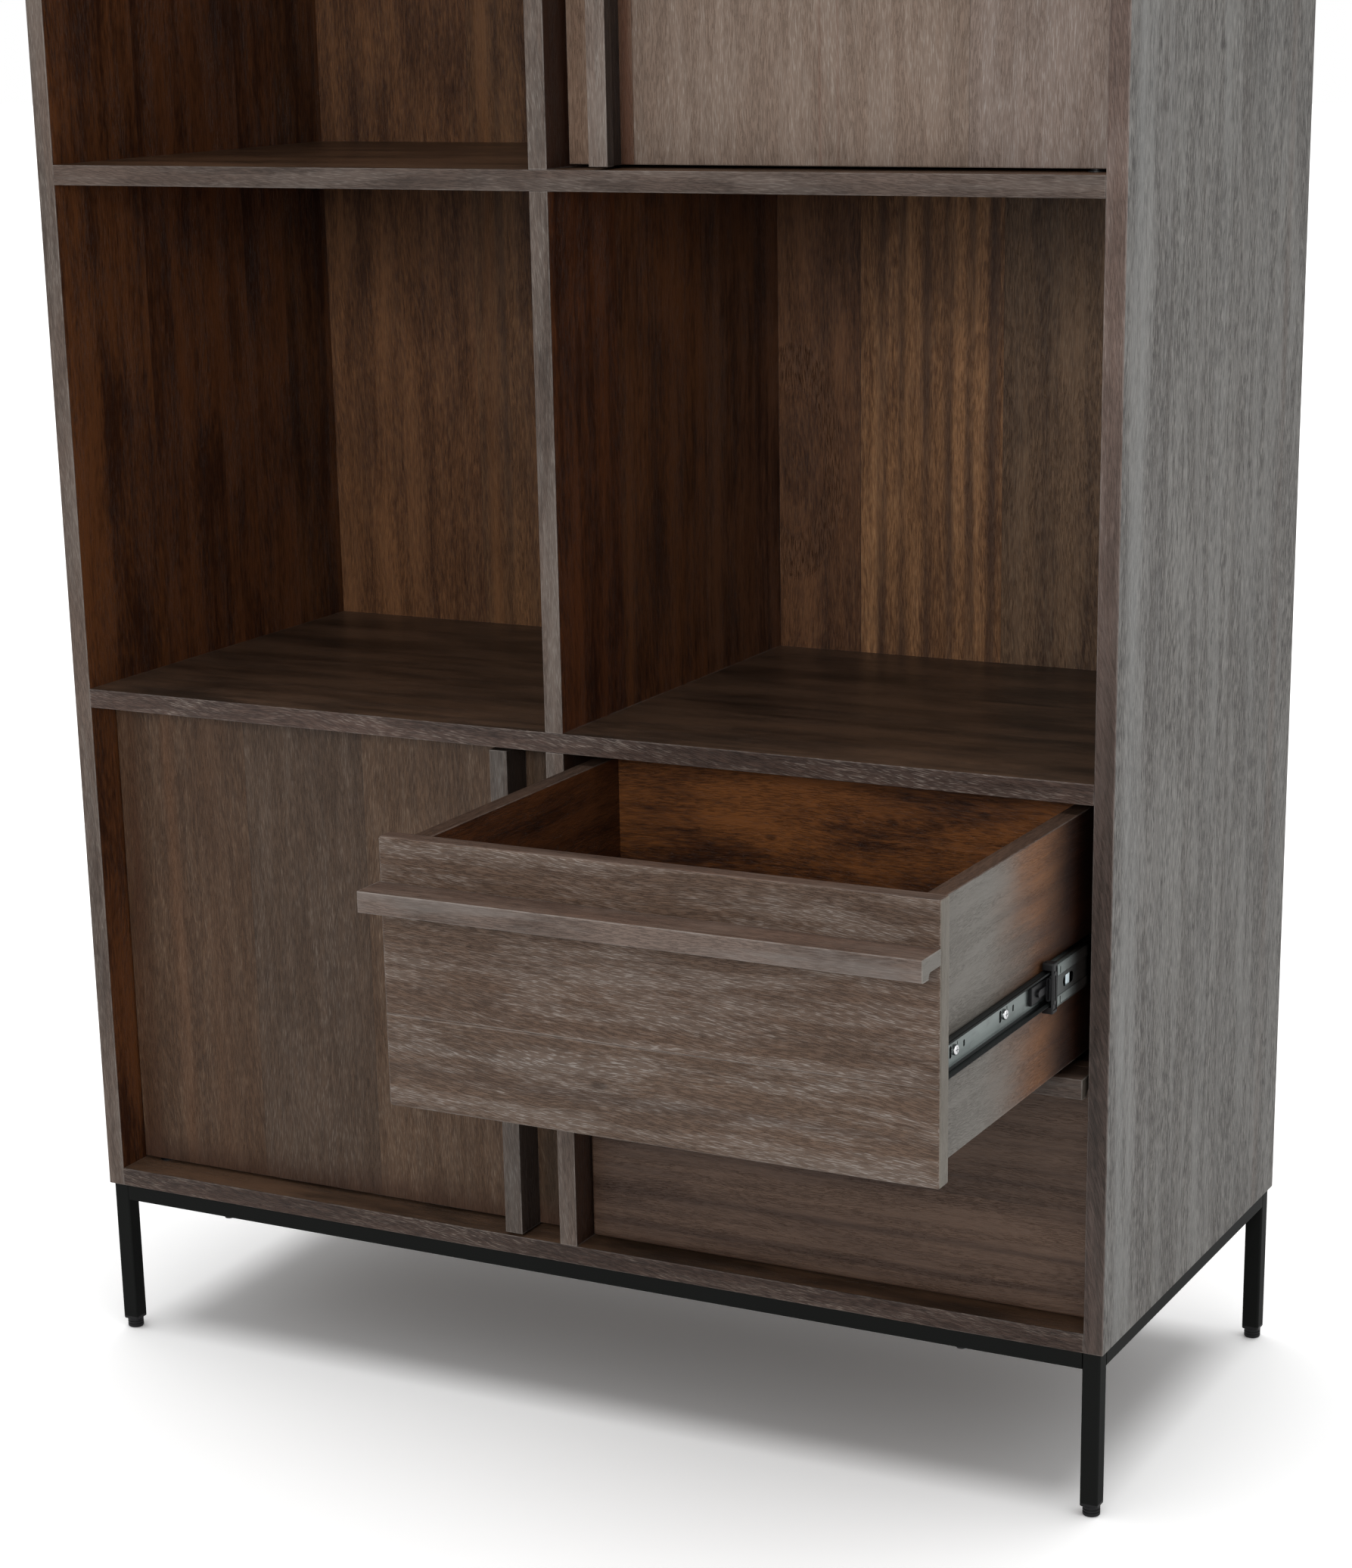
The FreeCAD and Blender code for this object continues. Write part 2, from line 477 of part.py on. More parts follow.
class Door:
    """Door that fills a cell's front: hinge is -1 for pivots at its left edge and 1 for its right."""

    def __init__(self, cell, row, hinge):
        self.x = grown(cell, -FRONT_GAP, -FRONT_GAP)
        self.z = grown(row, -FRONT_GAP, -FRONT_GAP)
        self.row = row
        self.hinge = hinge
        self.face_y = FRONT_Y + DOOR_RECESS
        self.back_y = self.face_y + FRONT_BOARD
        self.hinge_x = self.x[0] if hinge < 0 else self.x[1]
        self.free_x = self.x[1] if hinge < 0 else self.x[0]
        self.pivot_x = self.hinge_x - hinge * PIVOT_FROM_EDGE
        self.pivot_y = (self.face_y + self.back_y) / 2

    def pivot_ends(self):
        """Door's edge and the way out of it, at the bottom and at the top."""
        return ((self.z[0], -ALONG_Z), (self.z[1], ALONG_Z))

    def pins(self):
        pins = []
        for z, out in self.pivot_ends():
            edge = Vector(self.pivot_x, self.pivot_y, z)
            pin = rod(PIN_DIAMETER, edge - out * PIN_IN_DOOR, out, PIN_IN_DOOR + FRONT_GAP + PIN_IN_BUSH)
            pins.append(pin.fuse(rod(COLLAR_DIAMETER, edge, out, COLLAR_THICKNESS)))
        return pins

    def bush_outlines(self):
        """Solid bushes without their bores, in the boards below and above the door."""
        outlines = []
        for z, out in self.pivot_ends():
            board_face = Vector(self.pivot_x, self.pivot_y, z) + out * FRONT_GAP
            flange = rod(BUSH_FLANGE_DIAMETER, board_face, -out, BUSH_FLANGE_THICKNESS)
            outlines.append(flange.fuse(rod(BUSH_DIAMETER, board_face, out, BUSH_DEPTH)))
        return outlines

    def bushes(self):
        bores = []
        for z, out in self.pivot_ends():
            edge = Vector(self.pivot_x, self.pivot_y, z)
            bores.append(rod(PIN_DIAMETER + 2 * PIN_CLEARANCE, edge, out, FRONT_GAP + BUSH_DEPTH + CUT_PAST))
        return [outline.cut(bore).Solids[0] for outline, bore in zip(self.bush_outlines(), bores)]

    def panel(self):
        board = block(self.x, (self.face_y, self.back_y), self.z)
        board = rounded(board, DOOR_ROUND, [("Y", self.face_y), ("Y", self.back_y)])
        pin_holes = [rod(PIN_DIAMETER + 2 * GLUE_GAP, Vector(self.pivot_x, self.pivot_y, z), -out,
                         PIN_IN_DOOR + GLUE_GAP) for z, out in self.pivot_ends()]
        return cut_where_met(board, pin_holes)

    def handle(self):
        """Full-height bar with its groove facing the door's middle."""
        bar = pull_bar(self.z[1] - self.z[0])
        flat_x = self.free_x + self.hinge * PULL_FROM_EDGE
        lip_x = flat_x + self.hinge * PULL_THICKNESS
        if self.hinge < 0:
            return placed(bar, Vector(lip_x, self.face_y, self.z[1]), 90)
        return placed(bar, Vector(lip_x, self.face_y, self.z[0]), -90)

    def catch_middle(self):
        return self.free_x + self.hinge * CATCH_FROM_EDGE

    def strike(self):
        x = (self.catch_middle() - STRIKE_WIDTH / 2, self.catch_middle() + STRIKE_WIDTH / 2)
        middle = self.row[1] - CATCH_HEIGHT / 2 - FRONT_GAP
        z = (middle - STRIKE_HEIGHT / 2, middle + STRIKE_HEIGHT / 2)
        plate = block(x, (self.back_y, self.back_y + STRIKE_THICKNESS), z)
        return rounded(plate, STRIKE_CORNER, [("X", x[0]), ("X", x[1])], "Y")

    def catch(self):
        """Magnetic catch under the board above, just behind the strike plate."""
        x = (self.catch_middle() - CATCH_WIDTH / 2, self.catch_middle() + CATCH_WIDTH / 2)
        front = self.back_y + STRIKE_THICKNESS + CATCH_GAP
        housing = block(x, (front, front + CATCH_DEPTH), (self.row[1] - CATCH_HEIGHT, self.row[1]))
        return rounded(housing, CATCH_ROUND, [("Z", self.row[1] - CATCH_HEIGHT)])


# --- Drawers ---

class Drawer:
    """Drawer in the lower right cell, pulled out by so much, with its bar so far below the front's top."""

    def __init__(self, front_z, opened, pull_drop):
        self.z = front_z
        self.opened = opened
        self.pull_drop = pull_drop
        self.x = grown(RIGHT_CELL, -FRONT_GAP, -FRONT_GAP)
        self.face_y = FRONT_Y + DRAWER_RECESS - opened
        self.back_y = self.face_y + FRONT_BOARD
        self.box_z = (front_z[0] + DRAWER_BASE_UP, front_z[1] - DRAWER_TOP_DOWN)
        self.outer_x = grown(RIGHT_CELL, -SLIDE_SPACE, -SLIDE_SPACE)
        self.inner_x = grown(self.outer_x, -DRAWER_BOARD, -DRAWER_BOARD)
        self.side_y = (self.back_y, self.back_y + SIDE_LENGTH)
        self.rear_y = (self.side_y[1] - DRAWER_BACK_INSET - DRAWER_BOARD, self.side_y[1] - DRAWER_BACK_INSET)
        slide_z = self.box_z[0] + SLIDE_UP
        self.bays = [Bay(RIGHT_CELL[0], 1, slide_z), Bay(RIGHT_CELL[1], -1, slide_z)]

    def bottom(self, end_room=GROOVE_END_ROOM):
        """Bottom panel, held in grooves in all four walls."""
        reach = GROOVE_DEPTH - end_room
        low = self.box_z[0] + DRAWER_BOTTOM_UP
        y = (self.back_y - reach, self.rear_y[0] + reach)
        return block(grown(self.inner_x, reach, reach), y, (low, low + DRAWER_BOTTOM))

    def front(self):
        board = block(self.x, (self.face_y, self.back_y), self.z)
        faces = [("Y", self.face_y), ("Y", self.back_y), ("X", self.x[0]), ("X", self.x[1])]
        board = rounded(board, DRAWER_FRONT_ROUND, faces)
        return board.cut(self.bottom(0.0)).Solids[0]

    def handle(self):
        lip_z = self.z[1] - self.pull_drop - PULL_THICKNESS
        return placed(pull_bar(self.x[1] - self.x[0]), Vector(self.x[0], self.face_y, lip_z))

    def side(self, which):
        """Left side for 0 and right side for 1."""
        x = ((self.outer_x[0], self.inner_x[0]), (self.inner_x[1], self.outer_x[1]))[which]
        board = rounded(block(x, self.side_y, self.box_z), DRAWER_EASE, [("Z", self.box_z[1])], "Y")
        return cut_where_met(board, [self.bottom(0.0)] + drawer_screws(self.bays[which], self.back_y, GLUE_GAP))

    def back(self):
        board = rounded(block(self.inner_x, self.rear_y, self.box_z), DRAWER_EASE, [("Z", self.box_z[1])], "X")
        return board.cut(self.bottom(0.0)).Solids[0]

    def screws(self):
        return [screw for bay in self.bays for screw in drawer_screws(bay, self.back_y)]


# --- Case boards ---

FRONT_HEIGHT = (ROW_CLEAR - 3 * FRONT_GAP) / 2
LOWER_FRONT_Z = (ROW_Z[0][0] + FRONT_GAP, ROW_Z[0][0] + FRONT_GAP + FRONT_HEIGHT)
UPPER_FRONT_Z = (LOWER_FRONT_Z[1] + FRONT_GAP, LOWER_FRONT_Z[1] + FRONT_GAP + FRONT_HEIGHT)

DOORS = {"lower_door": Door(LEFT_CELL, ROW_Z[0], -1), "upper_door": Door(RIGHT_CELL, ROW_Z[-1], 1)}
DRAWERS = {"upper_drawer": Drawer(UPPER_FRONT_Z, UPPER_OPEN, PULL_FROM_TOP),
           "lower_drawer": Drawer(LOWER_FRONT_Z, 0.0, 0.0)}


def case_holes():
    """Everything that is let into the case boards, with its fitting room."""
    tools = case_dowels(GLUE_GAP) + back_screws(GLUE_GAP) + base_screws(GLUE_GAP)
    for door in DOORS.values():
        tools += door.bush_outlines()
    for drawer in DRAWERS.values():
        for bay in drawer.bays:
            tools += cabinet_screws(bay, GLUE_GAP)
    return tools


def level_board(low, y):
    """Board between the sides, with its front edges eased."""
    return rounded(block(INNER_X, y, (low, low + BOARD)), EDGE_EASE, [("Y", FRONT_Y)], "X")


def case_boards():
    boards = {}
    left = block((-HALF_WIDTH, INNER_X[0]), CASE_Y, CASE_Z)
    right = block((INNER_X[1], HALF_WIDTH), CASE_Y, CASE_Z)
    ends = [("Y", FRONT_Y), ("Y", REAR_Y)]
    boards["side_panel_left"] = rounded(left, EDGE_EASE, ends + [("X", -HALF_WIDTH)])
    boards["side_panel_right"] = rounded(right, EDGE_EASE, ends + [("X", HALF_WIDTH)])

    boards["bottom_panel"] = level_board(CASE_Z[0], CASE_Y)
    boards["shelf_lower"] = level_board(ROW_Z[0][1], SHELF_Y)
    boards["shelf_upper"] = level_board(ROW_Z[1][1], SHELF_Y)
    boards["top_panel"] = level_board(ROW_Z[-1][1], CASE_Y)
    for name, row in zip(("divider_bottom", "divider_middle", "divider_top"), ROW_Z):
        boards[name] = rounded(block(DIVIDER_X, SHELF_Y, row), EDGE_EASE, [("Y", FRONT_Y)], "Z")
    boards["back_panel"] = block(INNER_X, BACK_Y, grown(CASE_Z, -BOARD, -BOARD))
    holes = case_holes()
    return {name: cut_where_met(board, holes) for name, board in boards.items()}


# --- Base ---

def tube_bore_corner():
    return max(TUBE_CORNER - TUBE_WALL, LEAST_ROUND)


def square_tube(x, y, z, along):
    """Square steel tube over three spans, open at both ends along the named axis."""
    spans = {"X": x, "Y": y, "Z": z}
    flat = [axis for axis in "XYZ" if axis != along]
    corners = [(flat[0], spans[flat[0]][0]), (flat[0], spans[flat[0]][1])]
    outer = rounded(block(x, y, z), TUBE_CORNER, corners, along)
    bore = {axis: grown(span, -TUBE_WALL, -TUBE_WALL) for axis, span in spans.items()}
    bore[along] = grown(spans[along], CUT_PAST, CUT_PAST)
    corners = [(flat[0], bore[flat[0]][0]), (flat[0], bore[flat[0]][1])]
    inner = rounded(block(bore["X"], bore["Y"], bore["Z"]), tube_bore_corner(), corners, along)
    return outer.cut(inner).Solids[0]


def base_frame():
    pieces = {}
    left = -HALF_WIDTH + BASE_INSET
    right = HALF_WIDTH - BASE_INSET
    front = FRONT_Y + BASE_INSET
    back = REAR_Y - BASE_INSET
    x_of = {"left": (left, left + TUBE), "right": (right - TUBE, right)}
    y_of = {"front": (front, front + TUBE), "back": (back - TUBE, back)}
    rail_z = (BASE_HEIGHT - TUBE, BASE_HEIGHT)
    leg_z = (GLIDE_HEIGHT + PLUG_SHOULDER, BASE_HEIGHT)
    for y_name, y in y_of.items():
        pieces["base_rail_" + y_name] = square_tube((left + TUBE, right - TUBE), y, rail_z, "X")
        for x_name, x in x_of.items():
            pieces["base_leg_" + y_name + "_" + x_name] = square_tube(x, y, leg_z, "Z")
    for x_name, x in x_of.items():
        pieces["base_rail_" + x_name] = square_tube(x, (front + TUBE, back - TUBE), rail_z, "Y")
    holes = base_screws(GLUE_GAP)
    pieces = {name: cut_where_met(piece, holes) for name, piece in pieces.items()}
    pieces["leg_glides"] = Part.makeCompound([leg_glide(x, y) for x in x_of.values() for y in y_of.values()])
    return pieces


def leg_glide(x, y):
    """Plastic plug in a leg's end, with a ribbed round glide under it."""
    middle = Vector((x[0] + x[1]) / 2, (y[0] + y[1]) / 2, 0)
    glide = rod(GLIDE_DIAMETER, middle, ALONG_Z, GLIDE_HEIGHT)
    rims = [edge for edge in glide.Edges if edge_in_plane(edge, "Z", 0)]
    glide = glide.makeFillet(GLIDE_EDGE, rims)
    for third in (1, 2):
        low = GLIDE_EDGE + third * (GLIDE_HEIGHT - GLIDE_EDGE) / 3 - GLIDE_RIB_WIDTH / 2
        ring = rod(GLIDE_DIAMETER + 2 * CUT_PAST, middle + ALONG_Z * low, ALONG_Z, GLIDE_RIB_WIDTH)
        core = rod(GLIDE_DIAMETER - 2 * GLIDE_RIB_DEPTH, middle + ALONG_Z * low, ALONG_Z, GLIDE_RIB_WIDTH)
        glide = glide.cut(ring.cut(core))
    shoulder_z = (GLIDE_HEIGHT, GLIDE_HEIGHT + PLUG_SHOULDER)
    shoulder = rounded(block(x, y, shoulder_z), TUBE_CORNER, [("X", x[0]), ("X", x[1])], "Z")
    rims = [edge for edge in shoulder.Edges if edge_in_plane(edge, "Z", GLIDE_HEIGHT)]
    shoulder = shoulder.makeFillet(PLUG_EDGE, rims)
    spigot_z = (shoulder_z[1], shoulder_z[1] + PLUG_SPIGOT)
    inner_x = grown(x, -TUBE_WALL, -TUBE_WALL)
    spigot = rounded(block(inner_x, grown(y, -TUBE_WALL, -TUBE_WALL), spigot_z), tube_bore_corner(),
                     [("X", inner_x[0]), ("X", inner_x[1])], "Z")
    return glide.fuse([shoulder, spigot]).Solids[0]


# --- The whole bookcase, node by node ---

def all_nodes():
    nodes = case_boards()
    nodes["case_dowels"] = Part.makeCompound(case_dowels())
    nodes["back_screws"] = Part.makeCompound(back_screws())
    nodes.update(base_frame())
    nodes["base_screws"] = Part.makeCompound(base_screws())

    bushes = []
    catches = []
    for name, door in DOORS.items():
        nodes[name + "_panel"] = door.panel()
        nodes[name + "_handle"] = door.handle()
        nodes[name + "_pivot_pins"] = Part.makeCompound(door.pins())
        nodes[name + "_strike"] = door.strike()
        bushes += door.bushes()
        catches.append(door.catch())
    nodes["pivot_bushes"] = Part.makeCompound(bushes)
    nodes["door_catches"] = Part.makeCompound(catches)

    cabinet_members = []
    screws_in_case = []
    for name, drawer in DRAWERS.items():
        nodes[name + "_front"] = drawer.front()
        nodes[name + "_handle"] = drawer.handle()
        nodes[name + "_side_left"] = drawer.side(0)
        nodes[name + "_side_right"] = drawer.side(1)
        nodes[name + "_back"] = drawer.back()
        nodes[name + "_bottom"] = drawer.bottom()
        nodes[name + "_screws"] = Part.makeCompound(drawer.screws())
        members = [drawer_member(bay, drawer.back_y) for bay in drawer.bays]
        nodes[name + "_slide_members"] = Part.makeCompound(members)
        levers = [release_lever(bay, drawer.back_y) for bay in drawer.bays]
        nodes[name + "_release_levers"] = Part.makeCompound(levers)
        for side, bay in zip(("left", "right"), drawer.bays):
            nodes[name + "_" + side + "_middle_member"] = middle_member(bay, drawer.opened)
            nodes[name + "_" + side + "_bumper"] = bumper(bay, drawer.opened)
            cabinet_members.append(cabinet_member(bay))
            screws_in_case += cabinet_screws(bay)
    nodes["slide_cabinet_members"] = Part.makeCompound(cabinet_members)
    nodes["slide_cabinet_screws"] = Part.makeCompound(screws_in_case)
    return nodes


os.makedirs("parts", exist_ok=True)
for node_name, shape in all_nodes().items():
    shape.exportStep("parts/" + node_name + ".step")
    print(node_name, len(shape.Solids), round(shape.Volume / 1000, 1), "cm3", shape.isValid())
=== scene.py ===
import math

import bpy
from mathutils import Matrix, Vector


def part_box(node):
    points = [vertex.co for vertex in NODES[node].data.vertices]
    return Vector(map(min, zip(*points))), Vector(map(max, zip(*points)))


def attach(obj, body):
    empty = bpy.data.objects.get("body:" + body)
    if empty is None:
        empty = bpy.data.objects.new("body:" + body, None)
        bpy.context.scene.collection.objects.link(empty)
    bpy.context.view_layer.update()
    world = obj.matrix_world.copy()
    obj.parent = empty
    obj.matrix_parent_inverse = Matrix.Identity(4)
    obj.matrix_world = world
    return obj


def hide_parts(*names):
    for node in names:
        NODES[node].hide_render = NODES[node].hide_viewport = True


# Bookcase of solid boards on a steel base: how its woods, steel and plastic look, with a plain studio round it.
# Metres, +Z up, +X to the right, +Y to the back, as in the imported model.

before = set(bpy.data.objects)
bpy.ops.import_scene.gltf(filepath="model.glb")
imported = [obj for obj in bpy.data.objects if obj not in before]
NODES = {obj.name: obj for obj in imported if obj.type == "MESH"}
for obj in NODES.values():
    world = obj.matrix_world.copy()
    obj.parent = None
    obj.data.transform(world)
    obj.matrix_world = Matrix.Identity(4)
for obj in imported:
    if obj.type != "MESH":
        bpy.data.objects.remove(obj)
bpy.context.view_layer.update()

FRONT_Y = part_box("side_panel_right")[0].y          # front edges of the case
OUTER_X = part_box("side_panel_right")[1].x          # outer faces of the case
LOW_ROW_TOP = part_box("shelf_lower")[0].z

# --- Camera ---
PICTURE = (1787, 2072)               # the frame, in pixels
SENSOR = 36.0                        # mm
FOCAL_PIXELS = 4430.9                # focal length, in the frame's pixels
# The camera's place, and its axes to the right, down and ahead.
EYE = (1.3769, -2.46538, 1.22857)
EYE_RIGHT = (0.88744545, 0.46057114, -0.01774223)
EYE_DOWN = (0.1210714, -0.27008109, -0.95519522)
EYE_AHEAD = (-0.4447272, 0.84553558, -0.29544423)
SHIFT_UP = 0.1501                    # of the frame's longer side


def make_camera():
    camera = bpy.data.objects.new("camera", bpy.data.cameras.new("camera"))
    bpy.context.scene.collection.objects.link(camera)
    camera.data.sensor_width = SENSOR
    camera.data.lens = FOCAL_PIXELS / max(PICTURE) * SENSOR
    camera.data.shift_y = SHIFT_UP
    axes = Matrix((EYE_RIGHT, -Vector(EYE_DOWN), -Vector(EYE_AHEAD))).transposed()
    camera.matrix_world = Matrix.Translation(EYE) @ axes.to_4x4()
    bpy.context.scene.camera = camera


# --- Shader maths ---

class Wire:
    """Value in a finish. The usual operators add Math nodes."""

    def __init__(self, finish, socket):
        self.finish = finish
        self.socket = socket

    def maths(self, operation, *values):
        return self.finish.node("ShaderNodeMath", {"operation": operation}, dict(enumerate(values)))

    def __add__(self, other):
        return self.maths("ADD", self, other)

    def __radd__(self, other):
        return self.maths("ADD", other, self)

    def __sub__(self, other):
        return self.maths("SUBTRACT", self, other)

    def __rsub__(self, other):
        return self.maths("SUBTRACT", other, self)

    def __mul__(self, other):
        return self.maths("MULTIPLY", self, other)

    def __rmul__(self, other):
        return self.maths("MULTIPLY", other, self)

    def __gt__(self, other):
        return self.maths("GREATER_THAN", self, other)

    def __abs__(self):
        return self.maths("ABSOLUTE", self)


class Finish:
    """Nodes of a material or world in the making, each made by node()."""

    def __init__(self, owner):
        self.owner = owner
        owner.use_nodes = True
        self.tree = owner.node_tree
        self.tree.nodes.clear()

    def node(self, kind, settings=None, sockets=None, output=0):
        made = self.tree.nodes.new(kind)
        for key, value in (settings or {}).items():
            setattr(made, key, value)
        for key, value in (sockets or {}).items():
            if isinstance(value, Wire):
                self.tree.links.new(value.socket, made.inputs[key])
            elif value is not None:
                made.inputs[key].default_value = value
        return Wire(self, made.outputs[output]) if made.outputs else None

    def place(self):
        """Where a point is on the piece, in metres, as three values."""
        spot = self.node("ShaderNodeTexCoord", output=3)
        return [self.node("ShaderNodeSeparateXYZ", sockets={0: spot}, output=axis) for axis in range(3)]

    def vector(self, x, y, z):
        return self.node("ShaderNodeCombineXYZ", sockets={0: x, 1: y, 2: z})

    def noise(self, x, y, z, detail=2.0, roughness=0.5):
        sockets = {"Vector": self.vector(x, y, z), "Scale": 1.0, "Detail": detail, "Roughness": roughness}
        return self.node("ShaderNodeTexNoise", {"noise_dimensions": "3D"}, sockets)

    def even_noise(self, place, repeats, detail=2.0):
        """Noise that repeats alike on every axis, so many times in a metre."""
        return self.noise(*(value * repeats for value in place), detail=detail)

    def fade(self, value, low, high, to_low=0.0, to_high=1.0):
        """0 below low to 1 above high, with a soft step between."""
        sockets = {0: value, 1: low, 2: high, 3: to_low, 4: to_high}
        return self.node("ShaderNodeMapRange", {"interpolation_type": "SMOOTHSTEP"}, sockets)

    def blend(self, factor, first, second, way="MIX"):
        """Colours mixed, the second over the first."""
        sockets = {0: factor}
        for key, colour in ((6, first), (7, second)):
            sockets[key] = colour if isinstance(colour, Wire) else (*colour, 1.0)
        return self.node("ShaderNodeMix", {"data_type": "RGBA", "blend_type": way}, sockets, output=2)

    def surface(self, colour, roughness, height, depth, metallic=0.0, specular=0.5):
        """Principled surface, with a height in parts of the depth for its bump."""
        bump = self.node("ShaderNodeBump", sockets={"Strength": 1.0, "Distance": depth, "Height": height})
        shader = self.node("ShaderNodeBsdfPrincipled", sockets={
            "Base Color": colour, "Roughness": roughness, "Metallic": metallic, "Specular IOR Level": specular,
            "Normal": bump})
        self.node("ShaderNodeOutputMaterial", sockets={"Surface": shader})
        return self.owner

    def by_viewer(self, light, seen):
        """One shader for the light that reaches the object, another for the camera."""
        to_camera = self.node("ShaderNodeLightPath")
        return self.node("ShaderNodeMixShader", sockets={0: to_camera, 1: light, 2: seen})


def new_finish(name):
    return Finish(bpy.data.materials.new(name))


# --- Woods ---
# How often the parts of a wood's figure repeat in a metre: along the grain, across it and through the board.
BANDS = (0.8, 45.0, 45.0)
STREAKS = (3.5, 260.0, 200.0)
BLOTCHES = (6.0, 18.0, 18.0)
PORES = (110.0, 1750.0, 1500.0)
MOTTLE = (70.0, 460.0, 400.0)
PATCHES = (7.0, 55.0, 55.0)
WANDER = (1.8, 8.0, 8.0)             # the grain's own bends
LEAN_WANDER = (3.0, 12.0, 9.0)       # the pores' bends across the grain
# How far the figure wanders, and how far each seed and each board of a panel is set off in it, in metres.
DRIFT = 0.035
LEAN_DRIFT = 0.04
SEED_STEP = (3.1, 0.71, 0.53)
BOARD_STEP = (1.73, 0.37)
KNOT_STRETCH = 0.45                  # a knot's width to its length, as figure is drawn out along the grain
KNOT_REACH, KNOT_PULL = 4.0, 0.9     # how far a knot bends the grain round it and how much, for a radius of 1
KNOT_CORE = (0.8, 0.3)               # where its dark core begins and is full, for a radius of 1
KNOT_SHADE, PORE_SHADE = 0.6, 0.5    # colour of knots and dark pores, in parts of a wood's dark colour
KNOT_STRENGTH, GLUE_STRENGTH = 0.6, 0.35
# How strongly each part of the figure shifts a wood's tone, for a weight of 1.
BAND_GAIN, STREAK_GAIN, BLOTCH_GAIN, SPECKLE_GAIN = 2.4, 2.0, 2.0, 2.2
# Noise levels where the parts of a finish begin and end, some with the least and most that they reach.
WASHED_PATCHES = (0.4, 0.64, 0.15, 1.0)
DARK_PORES = (0.52, 0.62)
DARK_PATCHES = (0.6, 0.42, 0.25, 1.0)
PALE_PORES = (0.46, 0.34)
PALE_PATCHES = (0.4, 0.62, 0.1, 1.0)
# gaps in the painted highlight along edges
EDGE_HIGHLIGHT_BREAKS = (0.35, 0.6, 0.25, 1.0)
STRIPE_HOLDS = (0.3, 0.62, 0.3, 1.0)
# Heights in parts of the bump's depth, and the spread of a wood's roughness.
STREAK_HEIGHT = 0.3
PORE_DEPTH = 0.6
SHEEN_SPREAD = 0.16
GRAIN_DEPTH = 0.0004
GLUE_LINE = (0.0007, 0.0002)         # half width of a glue joint, from its soft edge in
GLUE = (0.02, 0.012, 0.008)
# colour of the painted highlight along edges
EDGE_HIGHLIGHT = (0.3, 0.27, 0.25)
EDGE = 0.0012                        # width of a painted highlight along an edge, and depth of the finish on a board's front edge
FACE = 0.001                         # depth of the finish on a board's face
SOFT = 0.0006                        # width of a change of finish


class Stock:
    """A wood's colours and figure, all as linear light."""

    def __init__(self, dark, light, wash=(0.2, 0.19, 0.175), washed=0.0, pale=(0.36, 0.34, 0.32), pale_pores=0.0,
                 dark_pores=0.3, lean=0.0, bands=0.3, streaks=0.3, blotches=0.3, speckle=0.5, roughness=0.5):
        self.dark = dark
        self.light = light
        self.wash = wash                # pale film rubbed into the grain
        self.washed = washed
        self.pale = pale                # pores filled by the wash
        self.pale_pores = pale_pores
        self.dark_pores = dark_pores
        self.lean = lean                # how far the pores lean from the grain, as a slope
        self.bands = bands
        self.streaks = streaks
        self.blotches = blotches
        self.speckle = speckle
        self.roughness = roughness


OUTSIDE = Stock((0.035, 0.029, 0.025), (0.165, 0.156, 0.143), washed=0.35, wash=(0.175, 0.176, 0.168),
                pale=(0.25, 0.248, 0.238), pale_pores=0.4, dark_pores=0.8, lean=-0.05, bands=0.12, streaks=0.3,
                blotches=0.3, speckle=1.55)
EDGES = Stock((0.032, 0.02, 0.014), (0.12, 0.085, 0.067), washed=0.3, wash=(0.14, 0.124, 0.11),
              pale=(0.25, 0.225, 0.2), pale_pores=0.35, dark_pores=0.25, lean=0.07, streaks=0.35, blotches=0.6,
              speckle=0.22)
DOOR = Stock((0.034, 0.017, 0.008), (0.08, 0.044, 0.024), washed=0.1, wash=(0.09, 0.07, 0.056),
             pale=(0.19, 0.145, 0.11), pale_pores=0.4, dark_pores=0.35, bands=0.12, streaks=0.17, speckle=0.5)
PALE_DOOR = Stock((0.105, 0.07, 0.05), (0.2, 0.138, 0.103), washed=0.15, wash=(0.21, 0.18, 0.155),
                  pale=(0.34, 0.295, 0.255), pale_pores=0.35, dark_pores=0.3, bands=0.12, streaks=0.18, speckle=0.24)
DRAWER_FRONT = Stock((0.042, 0.022, 0.012), (0.126, 0.074, 0.046), washed=0.4, wash=(0.145, 0.119, 0.102),
                     pale=(0.27, 0.238, 0.215), pale_pores=0.7, dark_pores=0.4, lean=0.08, bands=0.14, streaks=0.16,
                     blotches=0.25, speckle=0.36)
LOW_FRONT = Stock((0.034, 0.016, 0.009), (0.105, 0.062, 0.041), pale=(0.16, 0.12, 0.1), pale_pores=0.1,
                  dark_pores=0.25, bands=0.5, streaks=0.3, blotches=0.4, speckle=0.12, roughness=0.42)
BAR = Stock((0.06, 0.036, 0.025), (0.14, 0.098, 0.078), washed=0.5, wash=(0.15, 0.135, 0.125),
            pale=(0.25, 0.22, 0.2), pale_pores=0.2, dark_pores=0.3, bands=0.3, blotches=1.7, speckle=0.2)
BAR_TOP = Stock((0.045, 0.024, 0.015), (0.115, 0.067, 0.047), washed=0.3, wash=(0.14, 0.112, 0.094),
                pale=(0.2, 0.155, 0.125), pale_pores=0.15, dark_pores=0.5, bands=0.5, streaks=0.6, blotches=0.6,
                speckle=0.4)
SHELF_EDGE = Stock((0.024, 0.013, 0.009), (0.09, 0.055, 0.042), washed=0.12, wash=(0.12, 0.1, 0.09),
                   pale=(0.28, 0.245, 0.215), pale_pores=0.6, dark_pores=0.3, lean=0.12, blotches=0.4, speckle=0.45)
